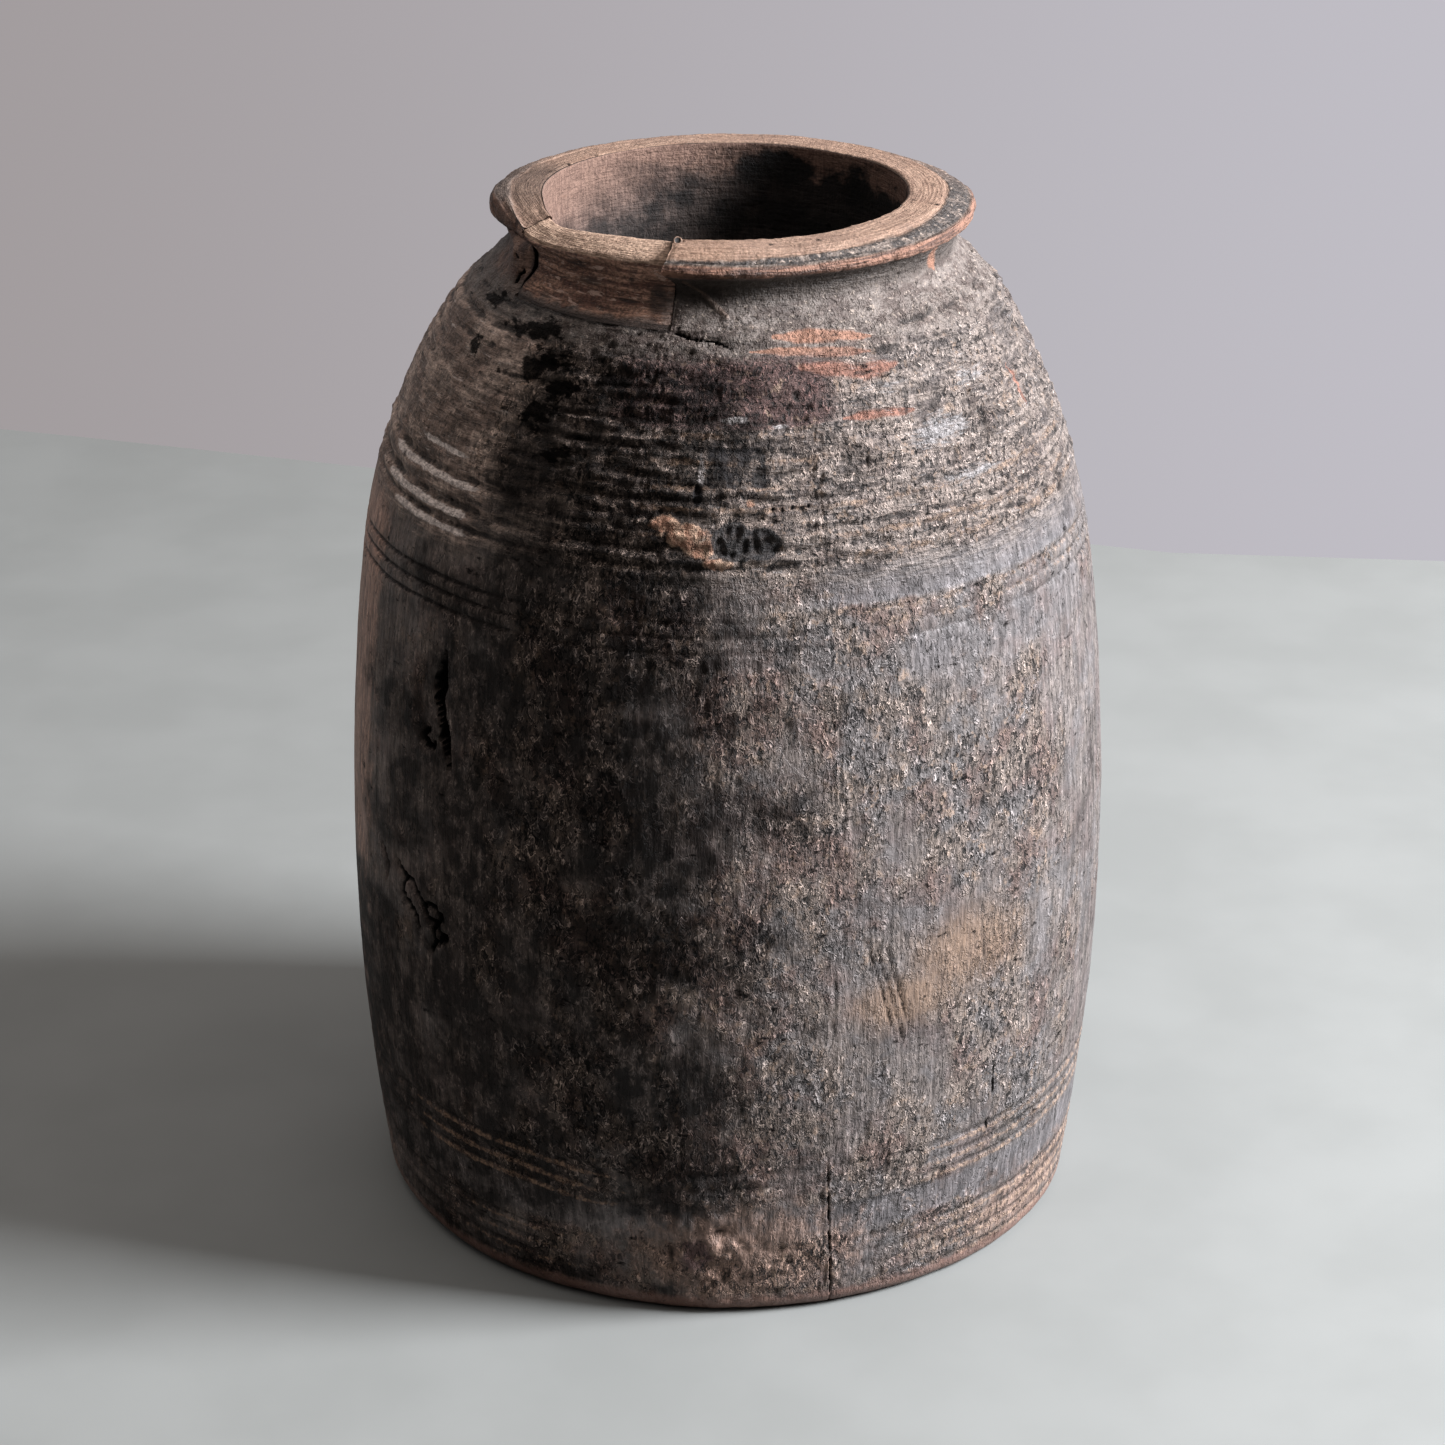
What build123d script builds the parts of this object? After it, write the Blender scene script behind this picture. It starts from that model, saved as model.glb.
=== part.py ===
from build123d import *
import os
from math import cos, radians, sin, sqrt

# Old turned wooden pot with a repaired rim. Millimetres and degrees.
# Z is the turning axis and points up, the origin is the middle of the foot, and -Y is the front.

# Overall size
height = 300.0
belly_radius = 110.1
belly_z = 107.0
belly_arc = 725.0  # radius of the long, flat curve of the side
shoulder_start_z = 195.0
shoulder_arc = 175.0  # radius of the curve from the side into the shoulder
shoulder_end_z = 272.4
foot_round = 6.0

# Wall and hollow
wall = 14.5
base_thickness = 22.0
floor_round = 16.0
throat_radius = 50.8
throat_bottom_z = 269.0
hollow_shoulder_z = 252.0

# Neck and rim
neck_start = (64.8, 283.0)
neck_waist = (61.9, 287.6)
neck_end = (64.2, 292.6)
lip_underside = (67.6, 294.2)
lip_edge = (68.1, 295.4)
lip_top = (67.1, 297.1)
flange_top = (62.6, 298.7)
ring_groove = (62.0, 298.2)
ring_outer = (61.2, 299.3)
ring_flat_radius = 59.4

# Turned grooves, as (height above the foot, half width, depth)
shoulder_grooves = [(265.0, 2.2, 0.9), (254.5, 2.4, 1.0), (247.0, 1.6, 0.7), (238.0, 2.4, 1.2),
                    (231.5, 2.2, 1.2), (225.5, 2.0, 1.1)]
fine_lines = [(211.0, 0.9, 0.9), (206.8, 0.9, 0.9), (202.6, 0.9, 0.8)]
low_grooves = [(48.4, 1.3, 1.0), (44.4, 1.1, 0.9), (40.6, 1.1, 0.8)]
foot_grooves = [(34.0, 1.0, 0.6), (28.5, 1.0, 0.6), (22.0, 1.2, 0.7)]

# Let-in repair of the rim: a wedge-shaped notch, in degrees from the front, with minus to the left
seam_angle = -14.0
notch_width = 47.0
notch_floor_z = 279.4
notch_outer_radius = 80.0
insert_top_z = 299.3
insert_bevel = (56.4, 298.2)
insert_edge = (61.3, 295.6)
insert_waist = (61.7, 288.0)
insert_hem_radius = 68.4
gap_width = 3.0
gap_depth = 6.5

# Wooden pins that hold the repair
peg_radius = 1.2
peg_path_radius = 53.6
peg_top_z = 299.7
peg_length = 16.0
dowel_radius = 2.0
dowel_path_radius = 56.4
dowel_length = 16.0
dowel_angles = {"left": -49.0, "right": -27.0}

os.makedirs("parts", exist_ok=True)


def belly(z, inset=0.0):
    """Radius of the side, or of a curve that many millimetres inside it."""
    return belly_radius - belly_arc + sqrt((belly_arc - inset) ** 2 - (z - belly_z) ** 2)


# The shoulder curve leaves the side's curve without a corner, so both centres are in line with the joint.
lean = (shoulder_start_z - belly_z) / belly_arc
shoulder_centre_r = belly(shoulder_start_z) - shoulder_arc * sqrt(1 - lean**2)
shoulder_centre_z = shoulder_start_z - shoulder_arc * lean
hollow_joint_z = shoulder_start_z - wall * lean


def shoulder(z, inset=0.0):
    """Radius of the shoulder, or of a curve that many millimetres inside it."""
    return shoulder_centre_r + sqrt((shoulder_arc - inset) ** 2 - (z - shoulder_centre_z) ** 2)


def outside(z):
    """Radius of the side or the shoulder at a height."""
    return belly(z) if z < shoulder_start_z else shoulder(z)


def place(radius, angle, z=0.0):
    """Point at a radius, an angle from the front and a height."""
    return (radius * sin(radians(angle)), -radius * cos(radians(angle)), z)


def radial_plane(angle):
    """Upright plane through the axis: its x runs outwards at the angle from the front, and its y is up."""
    return Plane(origin=(0, 0, 0), x_dir=place(1, angle), z_dir=place(1, angle - 90))


def curve(radius_at, low, high):
    """Arc of a radius function between two heights."""
    middle = (low + high) / 2
    return ThreePointArc((radius_at(low), low), (radius_at(middle), middle), (radius_at(high), high))


notch_start = radial_plane(seam_angle - notch_width)

# The pot: one log, turned outside and hollowed through the mouth
with BuildPart() as vessel:
    with BuildSketch(Plane.XZ):
        with BuildLine():
            Line((0, 0), (belly(0), 0))
            curve(belly, 0, shoulder_start_z)
            curve(shoulder, shoulder_start_z, shoulder_end_z)
            Line((shoulder(shoulder_end_z), shoulder_end_z), neck_start)
            ThreePointArc(neck_start, neck_waist, neck_end)
            Polyline(neck_end, lip_underside, lip_edge, lip_top, flange_top, ring_groove, ring_outer)
            Polyline(ring_outer, (ring_flat_radius, height), (0, height), (0, 0))
        make_face()
    revolve(axis=Axis.Z)
    fillet(vessel.edges().group_by(Axis.Z)[0], foot_round)
    with BuildSketch(Plane.XZ):
        for z, half_width, depth in shoulder_grooves + fine_lines + low_grooves + foot_grooves:
            with BuildLine():
                Polyline(
                    (outside(z - half_width) + 1, z - half_width - 0.5),
                    (outside(z) - depth, z),
                    (outside(z + half_width) + 1, z + half_width + 0.5),
                    close=True,
                )
            make_face()
    revolve(axis=Axis.Z, mode=Mode.SUBTRACT)
    with BuildSketch(Plane.XZ) as hollow:
        with BuildLine():
            Line((0, base_thickness), (belly(base_thickness, wall), base_thickness))
            curve(lambda z: belly(z, wall), base_thickness, hollow_joint_z)
            curve(lambda z: shoulder(z, wall), hollow_joint_z, hollow_shoulder_z)
            ThreePointArc(
                (shoulder(hollow_shoulder_z, wall), hollow_shoulder_z),
                (shoulder(hollow_shoulder_z, wall) - 9, hollow_shoulder_z + 10.5),
                (throat_radius, throat_bottom_z),
            )
            Polyline((throat_radius, throat_bottom_z), (throat_radius, height + 1), (0, height + 1))
            Line((0, height + 1), (0, base_thickness))
        make_face()
        fillet(hollow.vertices().group_by(Axis.Y)[0].sort_by(Axis.X)[-1], floor_round)
    revolve(axis=Axis.Z, mode=Mode.SUBTRACT)
    with BuildSketch(notch_start):
        with BuildLine():
            Polyline(
                (throat_radius - 5, notch_floor_z),
                (notch_outer_radius, notch_floor_z),
                (notch_outer_radius, height + 1),
                (throat_radius - 5, height + 1),
                close=True,
            )
        make_face()
    revolve(axis=Axis.Z, revolution_arc=notch_width, mode=Mode.SUBTRACT)
    with Locations(place(peg_path_radius, seam_angle, peg_top_z)):
        Cylinder(peg_radius, peg_length, align=(Align.CENTER, Align.CENTER, Align.MAX), mode=Mode.SUBTRACT)
    for angle in dowel_angles.values():
        with Locations(place(dowel_path_radius, angle, notch_floor_z)):
            Cylinder(dowel_radius, dowel_length, mode=Mode.SUBTRACT)
vessel.part.label = "vessel"
export_step(vessel.part, "parts/vessel.step")

# The repair: a block let into the notch, flush with the throat and hollowed outside like the neck
with BuildPart() as rim_insert:
    with BuildSketch(notch_start):
        with BuildLine():
            Line((throat_radius, notch_floor_z), (insert_hem_radius, notch_floor_z))
            ThreePointArc((insert_hem_radius, notch_floor_z), insert_waist, insert_edge)
            Polyline(insert_edge, insert_bevel, (throat_radius, insert_top_z), (throat_radius, notch_floor_z))
        make_face()
    revolve(axis=Axis.Z, revolution_arc=notch_width)
    # Its left end is loose: a wedge-shaped gap stands open on the outside.
    with BuildSketch(Plane.XY.offset(notch_floor_z + 1)):
        with BuildLine():
            outer = place(insert_hem_radius + 2, seam_angle - notch_width)
            corner = place(insert_edge[0] - gap_depth, seam_angle - notch_width)
            along = place(gap_width + 0.6, seam_angle - notch_width + 90)
            Polyline(corner, outer, (outer[0] + along[0], outer[1] + along[1]), close=True)
        make_face()
    extrude(amount=insert_edge[1] - notch_floor_z - 2, mode=Mode.SUBTRACT)
    with Locations(place(peg_path_radius, seam_angle, peg_top_z)):
        Cylinder(peg_radius, peg_length, align=(Align.CENTER, Align.CENTER, Align.MAX), mode=Mode.SUBTRACT)
    for angle in dowel_angles.values():
        with Locations(place(dowel_path_radius, angle, notch_floor_z)):
            Cylinder(dowel_radius, dowel_length, mode=Mode.SUBTRACT)
rim_insert.part.label = "rim_insert"
export_step(rim_insert.part, "parts/rim_insert.step")

# The peg driven down the right-hand seam, half in the pot and half in the repair
with BuildPart() as seam_peg:
    with Locations(place(peg_path_radius, seam_angle, peg_top_z)):
        Cylinder(peg_radius, peg_length, align=(Align.CENTER, Align.CENTER, Align.MAX))
seam_peg.part.label = "seam_peg"
export_step(seam_peg.part, "parts/seam_peg.step")

# Two blind dowels across the bottom joint of the repair
for side, angle in dowel_angles.items():
    with BuildPart() as dowel:
        with Locations(place(dowel_path_radius, angle, notch_floor_z)):
            Cylinder(dowel_radius, dowel_length)
    dowel.part.label = "insert_dowel_" + side
    export_step(dowel.part, "parts/insert_dowel_" + side + ".step")
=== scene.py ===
import functools
import itertools
import math

import bpy
import numpy as np
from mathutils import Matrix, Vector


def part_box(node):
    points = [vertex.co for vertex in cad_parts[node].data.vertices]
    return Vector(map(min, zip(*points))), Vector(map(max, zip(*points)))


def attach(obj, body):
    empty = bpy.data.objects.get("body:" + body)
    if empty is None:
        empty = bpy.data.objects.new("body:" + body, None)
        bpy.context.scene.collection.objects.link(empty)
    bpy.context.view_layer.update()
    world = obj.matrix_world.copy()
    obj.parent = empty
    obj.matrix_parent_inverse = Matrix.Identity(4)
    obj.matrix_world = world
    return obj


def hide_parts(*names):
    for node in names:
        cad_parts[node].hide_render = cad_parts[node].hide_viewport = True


# An old turned wooden pot whose rim was mended with a let-in piece.
# Lengths are millimetres until a mesh is made. Angles are degrees round the pot, from the front (-Y),
# positive towards the right (+X).

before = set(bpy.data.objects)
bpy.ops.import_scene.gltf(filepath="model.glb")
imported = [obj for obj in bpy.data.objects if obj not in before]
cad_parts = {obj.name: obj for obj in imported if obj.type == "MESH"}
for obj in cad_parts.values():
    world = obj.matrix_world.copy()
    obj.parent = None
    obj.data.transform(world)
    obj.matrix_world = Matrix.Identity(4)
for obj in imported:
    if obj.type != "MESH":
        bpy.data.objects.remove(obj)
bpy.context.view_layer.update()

MM = 0.001
# The photo's camera and the window, in metres, degrees, millimetres of lens and watts.
CAMERA_PLACE = (-0.0012, -1.0643, 0.5939)
CAMERA_TILT = 23.16
CAMERA_LENS = 98.16
WINDOW_AZIMUTH = 80
WINDOW_ELEVATION = 32
WINDOW_DISTANCE = 1.65
WINDOW_SIZE = 0.6
WINDOW_POWER = 142
# Every wood colour is multiplied by this.
WOOD_TONE = (0.555, 0.52, 0.488)

# ------------------------------------------------------------------ the turned shape, as in the CAD model
BELLY_RADIUS = 110.1
BELLY_Z = 107
BELLY_ARC = 725
SHOULDER_START_Z = 195
SHOULDER_ARC = 175
SHOULDER_END_Z = 272.4
FOOT_ROUND = 6
WALL = 14.5
BASE_THICKNESS = 22
FLOOR_ROUND = 16
THROAT_RADIUS = 50.8
THROAT_BOTTOM_Z = 269
HOLLOW_SHOULDER_Z = 252
NOTCH_FLOOR_Z = 279.4
NOTCH_RIGHT = -14
NOTCH_LEFT = -61
PEG_PATH_RADIUS = 53.6
PEG_ANGLE = -14
PEG_PROUD = 0.45
# How many rows the notch's floor has, and how far its end walls are sunk.
NOTCH_STEPS = 14
WALL_INSET = 0.5

# Neck, lip, flange and top ring from the shoulder's end to the mouth edge.
RIM_SECTION = [
    (75.4, 272.4), (72, 275.9), (68.4, 279.3), (65.2, 282.6), (62.9, 285.2), (61.9, 287.6),
    (62.3, 290.2), (64.2, 292.6), (67.4, 294), (68.3, 295.4), (67.2, 297.1), (62.9, 298.6),
    (62.1, 297.9), (61.2, 299.2), (59.4, 299.9), (51.2, 300), (50.8, 299.4),
]

# The let-in piece's outside, from its foot to the mouth edge.
INSERT_SECTION = [
    (68.3, 279.4), (66, 281.4), (63.7, 283.9), (62.2, 286.6), (61.6, 289.6), (61.7, 292.6),
    (61.9, 294.8), (61, 296.4), (58.4, 297.7), (55, 298.9), (51.6, 299.5), (50.8, 298.8),
]

# Where the mended seams run, as (height, angle).
RIGHT_SEAM = [(279.4, -13.7), (286, -14.3), (290, -14), (292.6, -15.9), (296, -16), (300, -15.4)]
LEFT_SEAM = [
    (279.4, -60), (283, -61.2), (287, -59.8), (291, -60.2), (293, -63.6), (295, -68.5), (297, -70),
    (300, -69),
]
# Width of the open wedge beside the left seam, as (height, degrees).
WEDGE = [
    (279.4, 0.1), (281.5, 0.7), (284.5, 1.6), (287.5, 2.2), (290.5, 1.4), (292.6, 0.4), (295, 0.1),
    (300, 0.05),
]

# The mouth's edge dips and rises as the rim warped, as (angle, rise).
MOUTH_RISE = [
    (-95, 0), (-85, -0.2), (-75, -2.2), (-64, -3), (-56, -2.6), (-46, -1.4), (-36, -0.6), (-15, 0),
    (40, 0.4), (76, 0.4), (110, 0),
]


def turn(angle, centre=0):
    """The signed angle from centre, from -180 to 180."""
    return (angle - centre + 180) % 360 - 180


def ease(value, low, high):
    """0 below low and 1 above high, smoothly."""
    t = unit((value - low) / (high - low))
    return t * t * (3 - 2 * t)


def between(value, low, high, soft):
    """1 from low to high, fading over soft at each end."""
    return ease(value, low - soft, low + soft) * (1 - ease(value, high - soft, high + soft))


def bell(distance, width):
    return np.exp(-((distance / width) ** 2))


def unit(values):
    return np.clip(values, 0, 1)


def spot(angle, height, at, size):
    """A soft spot at (angle, height) with half sizes (degrees, mm)."""
    return np.exp(-((turn(angle, at[0]) / size[0]) ** 2) - ((height - at[1]) / size[1]) ** 2)


def by_angle(angle, points):
    """A value that runs through (angle, value) points round the pot."""
    return np.interp(turn(angle), [p[0] for p in points], [p[1] for p in points])


def by_height(height, points):
    return np.interp(height, [p[0] for p in points], [p[1] for p in points])


def to_place(angle, r, z):
    """Where a point lies, in mm from the pot's middle."""
    radians = np.radians(angle)
    return r * np.sin(radians), -r * np.cos(radians), z


def perlin(x, y, z, seed):
    """Gradient noise, about -1 to 1."""
    rng = np.random.default_rng(seed)
    order = rng.permutation(256)
    slopes = rng.normal(size=(256, 3))
    slopes /= np.linalg.norm(slopes, axis=1)[:, None]
    cells = [np.floor(v).astype(int) for v in (x, y, z)]
    parts = [v - c for v, c in zip((x, y, z), cells)]
    fades = [t * t * t * (t * (t * 6 - 15) + 10) for t in parts]
    total = np.zeros_like(x)
    for corner in itertools.product((0, 1), repeat=3):
        i, j, k = [c + o for c, o in zip(cells, corner)]
        slope = slopes[order[(order[(order[i & 255] + j) & 255] + k) & 255]]
        value = np.ones_like(x)
        for axis in range(3):
            value *= fades[axis] if corner[axis] else 1 - fades[axis]
        total += value * sum(slope[..., a] * (parts[a] - corner[a]) for a in range(3))
    return total * 1.6


def noise(place, across, up, seed, octaves=1):
    """Layered noise with blobs that are across wide and up tall."""
    total, weight, reach = 0, 1, 0
    for octave in range(octaves):
        fine = 2**octave
        x, y, z = place
        total = total + weight * perlin(x / across * fine, y / across * fine, z / up * fine, seed + octave)
        reach += weight
        weight *= 0.5
    return total / reach


def path_distance(angle, height, radius, points):
    """Distance in mm from a line through (angle, height) points, and how far along it, 0 to 1."""
    nearest = np.full(angle.shape, 1e6)
    share = np.zeros(angle.shape)
    across = np.radians(turn(angle, points[0][0])) * radius
    for i in range(len(points) - 1):
        ax, ay = np.radians(turn(points[i][0], points[0][0])) * radius, points[i][1]
        bx, by = np.radians(turn(points[i + 1][0], points[0][0])) * radius, points[i + 1][1]
        dx, dy = bx - ax, by - ay
        t = unit(((across - ax) * dx + (height - ay) * dy) / (dx * dx + dy * dy))
        d = np.hypot(across - ax - t * dx, height - ay - t * dy)
        closer = d < nearest
        nearest = np.where(closer, d, nearest)
        share = np.where(closer, (i + t) / (len(points) - 1), share)
    return nearest, share


# ------------------------------------------------------------------ section of the vessel
def belly(z, inset=0):
    return BELLY_RADIUS - BELLY_ARC + np.sqrt((BELLY_ARC - inset) ** 2 - (z - BELLY_Z) ** 2)


LEAN = (SHOULDER_START_Z - BELLY_Z) / BELLY_ARC
SHOULDER_R = belly(SHOULDER_START_Z) - SHOULDER_ARC * math.sqrt(1 - LEAN**2)
SHOULDER_Z = SHOULDER_START_Z - SHOULDER_ARC * LEAN


def shoulder(z, inset=0):
    return SHOULDER_R + np.sqrt((SHOULDER_ARC - inset) ** 2 - (z - SHOULDER_Z) ** 2)


def resample(points, gap):
    """Points spaced evenly along a line through points."""
    points = np.array(points, float)
    length = np.concatenate([[0], np.cumsum(np.hypot(*np.diff(points, axis=0).T))])
    count = max(2, int(round(length[-1] / gap)) + 1)
    at = np.linspace(0, length[-1], count)
    return np.column_stack([np.interp(at, length, points[:, 0]), np.interp(at, length, points[:, 1])])


def soften(points, reach):
    """The same line with its corners worn round over reach samples."""
    kernel = np.exp(-np.linspace(-2, 2, 4 * reach + 1) ** 2)
    kernel /= kernel.sum()
    pad = 2 * reach
    columns = []
    for values in points.T:
        start = 2 * values[0] - values[pad:0:-1]
        end = 2 * values[-1] - values[-2 : -pad - 2 : -1]
        columns.append(np.convolve(np.concatenate([start, values, end]), kernel, "valid"))
    return np.column_stack(columns)


def cut_at(points, height, first):
    """Splits the line where it crosses height, at its first or last crossing."""
    above = points[:, 1] > height
    crossings = np.nonzero(above[1:] != above[:-1])[0]
    i = crossings[0] if first else crossings[-1]
    t = (height - points[i, 1]) / (points[i + 1, 1] - points[i, 1])
    split = points[i] + t * (points[i + 1] - points[i])
    return np.vstack([points[: i + 1], split]), np.vstack([split, points[i + 1 :]])


def spaced(points, gap_of):
    """Rows along the line, as far apart as gap_of(r, z) says at each place."""
    steps = np.hypot(*np.diff(points, axis=0).T)
    middle = (points[1:] + points[:-1]) / 2
    count = np.concatenate([[0], np.cumsum(steps / gap_of(middle[:, 0], middle[:, 1]))])
    at = np.linspace(0, count[-1], int(round(count[-1])) + 1)
    return np.column_stack([np.interp(at, count, points[:, 0]), np.interp(at, count, points[:, 1])])


def vessel_section():
    foot_r = float(belly(FOOT_ROUND)) - FOOT_ROUND
    outside = [(3, 1), (60, 0.8), (88, 0.2), (foot_r - 3, 0)]
    for a in np.linspace(0, 1.45, 12):
        outside.append((foot_r + FOOT_ROUND * math.sin(a), FOOT_ROUND - FOOT_ROUND * math.cos(a)))
    outside += [(float(belly(z)), z) for z in np.linspace(7, SHOULDER_START_Z, 120)]
    outside += [(float(shoulder(z)), z) for z in np.linspace(SHOULDER_START_Z, SHOULDER_END_Z, 90)[1:-1]]
    inside = [(THROAT_RADIUS, z) for z in (298, THROAT_BOTTOM_Z)]
    inside += [(float(shoulder(z, WALL)), z) for z in np.linspace(HOLLOW_SHOULDER_Z, SHOULDER_START_Z, 20)]
    floor_edge = BASE_THICKNESS + FLOOR_ROUND
    inside += [(float(belly(z, WALL)), z) for z in np.linspace(SHOULDER_START_Z - 4, floor_edge, 40)]
    inner_r = float(belly(floor_edge, WALL)) - FLOOR_ROUND
    for a in np.linspace(0.2, 1.57, 8):
        inside.append((inner_r + FLOOR_ROUND * math.cos(a), floor_edge - FLOOR_ROUND * math.sin(a)))
    inside += [(3, BASE_THICKNESS)]
    line = soften(resample(outside + RIM_SECTION + inside, 0.2), 3)
    lower, rest = cut_at(line, NOTCH_FLOOR_Z, True)
    rim, hollow = cut_at(rest, NOTCH_FLOOR_Z, False)
    return lower, rim, hollow


def outside_gap(r, z):
    gap = np.full(z.shape, 1.5)
    gap = np.where((z > 34) & (z < 52), 0.8, gap)
    gap = np.where((z > 3) & (z < 27), 0.8, gap)
    gap = np.where(z > 196, 0.6, gap)
    return np.where((z < 2) & (r < 92), 5, gap)


def rim_gap(r, z):
    return np.where((r < 51.5) & (z < 298.5), 1.2, 0.45)


def insert_gap(r, z):
    return np.where((r < 51.5) & (z < 298), 1.4, 0.5)


def hollow_gap(r, z):
    return np.where(z > 250, 1.2, np.where(z > 200, 3, 6))


def nearest_on(points, line):
    """The place on a line that is nearest to each point."""
    dense = resample(line, 0.1)
    distance = np.hypot(points[:, :1] - dense[:, 0], points[:, 1:] - dense[:, 1])
    chosen = dense[np.argmin(distance, axis=1)]
    return chosen[:, 0], chosen[:, 1]


def row_directions(rows):
    """Which way the surface faces at each row, as (outwards, up)."""
    along = np.gradient(rows, axis=0)
    along /= np.hypot(*along.T)[:, None]
    return along[:, 1], -along[:, 0]


# Where the columns of a mesh stand closer together: angle, reach and how much closer.
FINE_PLACES = [
    (-47, 3, 1.6), (15.8, 1.4, 2.6), (-14, 1.6, 1.8), (-61, 3, 1.4), (-4, 8, 0.6), (23.5, 4, 1.2),
]


def column_angles(start, end, gap):
    """Angles from start to end, closer together where cracks and edges need it."""
    angle = np.linspace(start, end, 4001)
    density = np.ones_like(angle)
    for centre, reach, extra in FINE_PLACES:
        density += extra * bell(turn(angle, centre), reach)
    count = np.concatenate([[0], np.cumsum((density[1:] + density[:-1]) / 2)]) * (angle[1] - angle[0]) / gap
    at = np.linspace(0, count[-1], int(round(count[-1])) + 1)
    return np.interp(at, count, angle)


# ------------------------------------------------------------------ the worn surface
# Turned grooves: height, half width, depth, and how strong each is at the left, front, right and back.
GROOVES = [
    (278, 0.9, 0.8, (0.8, 0, 0.7, 0.7)),
    (273.4, 0.9, 1, (0.9, 0.2, 0.8, 0.8)),
    (268.8, 0.9, 0.9, (0.9, 0.4, 0.7, 0.8)),
    (264.2, 0.9, 0.8, (0.8, 0.6, 0.5, 0.7)),
    (259.6, 0.9, 0.9, (0.6, 1, 0.6, 0.7)),
    (253.4, 0.9, 0.9, (0.6, 1, 0.5, 0.7)),
    (247.2, 0.9, 0.7, (0.3, 0.7, 0.5, 0.6)),
    (241.2, 0.9, 1, (0.3, 0.9, 0.8, 0.8)),
    (236.9, 1.5, 1.6, (1, 0.5, 0.2, 0.8)),
    (233.8, 0.9, 1.1, (0, 0.7, 0.9, 0.4)),
    (229.6, 1.6, 1.6, (1, 0.5, 0.3, 0.9)),
    (228.4, 0.9, 1, (0, 0.4, 0.9, 0.3)),
    (224.6, 1.2, 1.3, (1, 0.8, 0.4, 0.8)),
]
# Three fine scored lines, whose height wanders and whose depth changes by angle.
SCORE_LINES = [210.2, 206.2, 202]
SCORE_WANDER = [
    (-180, 0.4), (-110, -1.5), (-86, -4), (-74, -1.6), (-52, -0.1), (0, 0.2), (20, 1.2), (62, 1.9),
    (90, 0.5), (180, 0.4),
]
SCORE_DEPTH = [
    (-180, 0.8), (-120, 0.9), (-92, 1), (-45, 1), (-30, 0.5), (0, 0.3), (30, 0.35), (60, 0.6),
    (90, 0.8), (180, 0.8),
]
# How crumbly the surface is, how slate grey its low band is, and how broken the shoulder is, by angle.
ROUGH_LEVEL = [
    (-180, 0.6), (-120, 0.5), (-95, 0.15), (-62, 0.2), (-46, 0.45), (-32, 0.8), (-12, 0.9), (10, 0.95),
    (52, 0.9), (66, 0.5), (85, 0.4), (130, 0.5), (180, 0.6),
]
SLATE_LEVEL = [(-180, 0.5), (-90, 0.8), (90, 0.9), (180, 0.5)]
CRUMBLE_LEVEL = [(-180, 0.7), (-110, 0.5), (-90, 0.2), (-46, 0.2), (-30, 0.9), (80, 0.9), (110, 0.7)]
# How much soot and painted shade darken the surface, by angle: most towards the front-left, away from the
# window.
SOOT_AND_SHADE_LEVEL = [
    (-110, 0.3), (-90, 0), (-79, 0.1), (-66, 0.6), (-52, 0.8), (-40, 1), (-18, 1), (-4, 0.85), (8, 0.3),
    (20, 0.16), (34, 0.08), (60, 0.08), (74, 0.2), (90, 0.2), (130, 0.35), (180, 0.3),
]

# Grooves near the foot: height, half width and depth. The upper ones dip at two places.
LOW_GROOVES = [(48, 0.9, 0.8), (43, 0.9, 0.8), (38.4, 0.8, 0.7)]
FOOT_GROOVES = [(22.4, 0.9, 0.7), (17.4, 0.9, 0.7), (12.6, 0.9, 0.6), (7.4, 0.8, 0.4)]
LOW_GROOVE_LEVEL = [(-90, 0.6), (-35, 0.9), (-12, 0.25), (20, 0.3), (40, 0.9), (90, 0.9), (180, 0.6)]
LOW_GROOVE_DROP = [(-180, 0), (-75, -2.6), (-58, 0), (-32, 0.2), (-21, -2), (0, 0), (62, 0.8), (180, 0)]
# How tan the worn edges of those grooves are, by angle.
TAN_LOW_EDGE = [
    (-180, 0.3), (-100, 0.2), (-60, 0.3), (-48, 0.9), (-22, 0.9), (-14, 0.2), (24, 0.15), (36, 0.8),
    (78, 0.8), (110, 0.3), (180, 0.3),
]
TAN_FOOT_EDGE = [
    (-180, 0.2), (-60, 0.2), (-40, 0.6), (-26, 0.5), (-18, 0.1), (30, 0.3), (42, 1), (78, 1),
    (110, 0.3), (180, 0.2),
]

# Ledges that wore to crumbly tan edges: height, level, how far each wanders, half width, and its angles.
SHOULDER_LEDGES = [(height, 0.9, 1, 1.1, (16, 82, 7)) for height in (238.8, 231.4, 226.2)]
SHOULDER_LEDGES += [(height, 0.55, 1, 1.1, (16, 82, 7)) for height in (211.4, 207.4)]
SHOULDER_LEDGES += [(height, 0.7, 1.2, 1, (-34, 18, 6)) for height in (256.6, 250.4, 244, 239, 232.4)]

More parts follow.
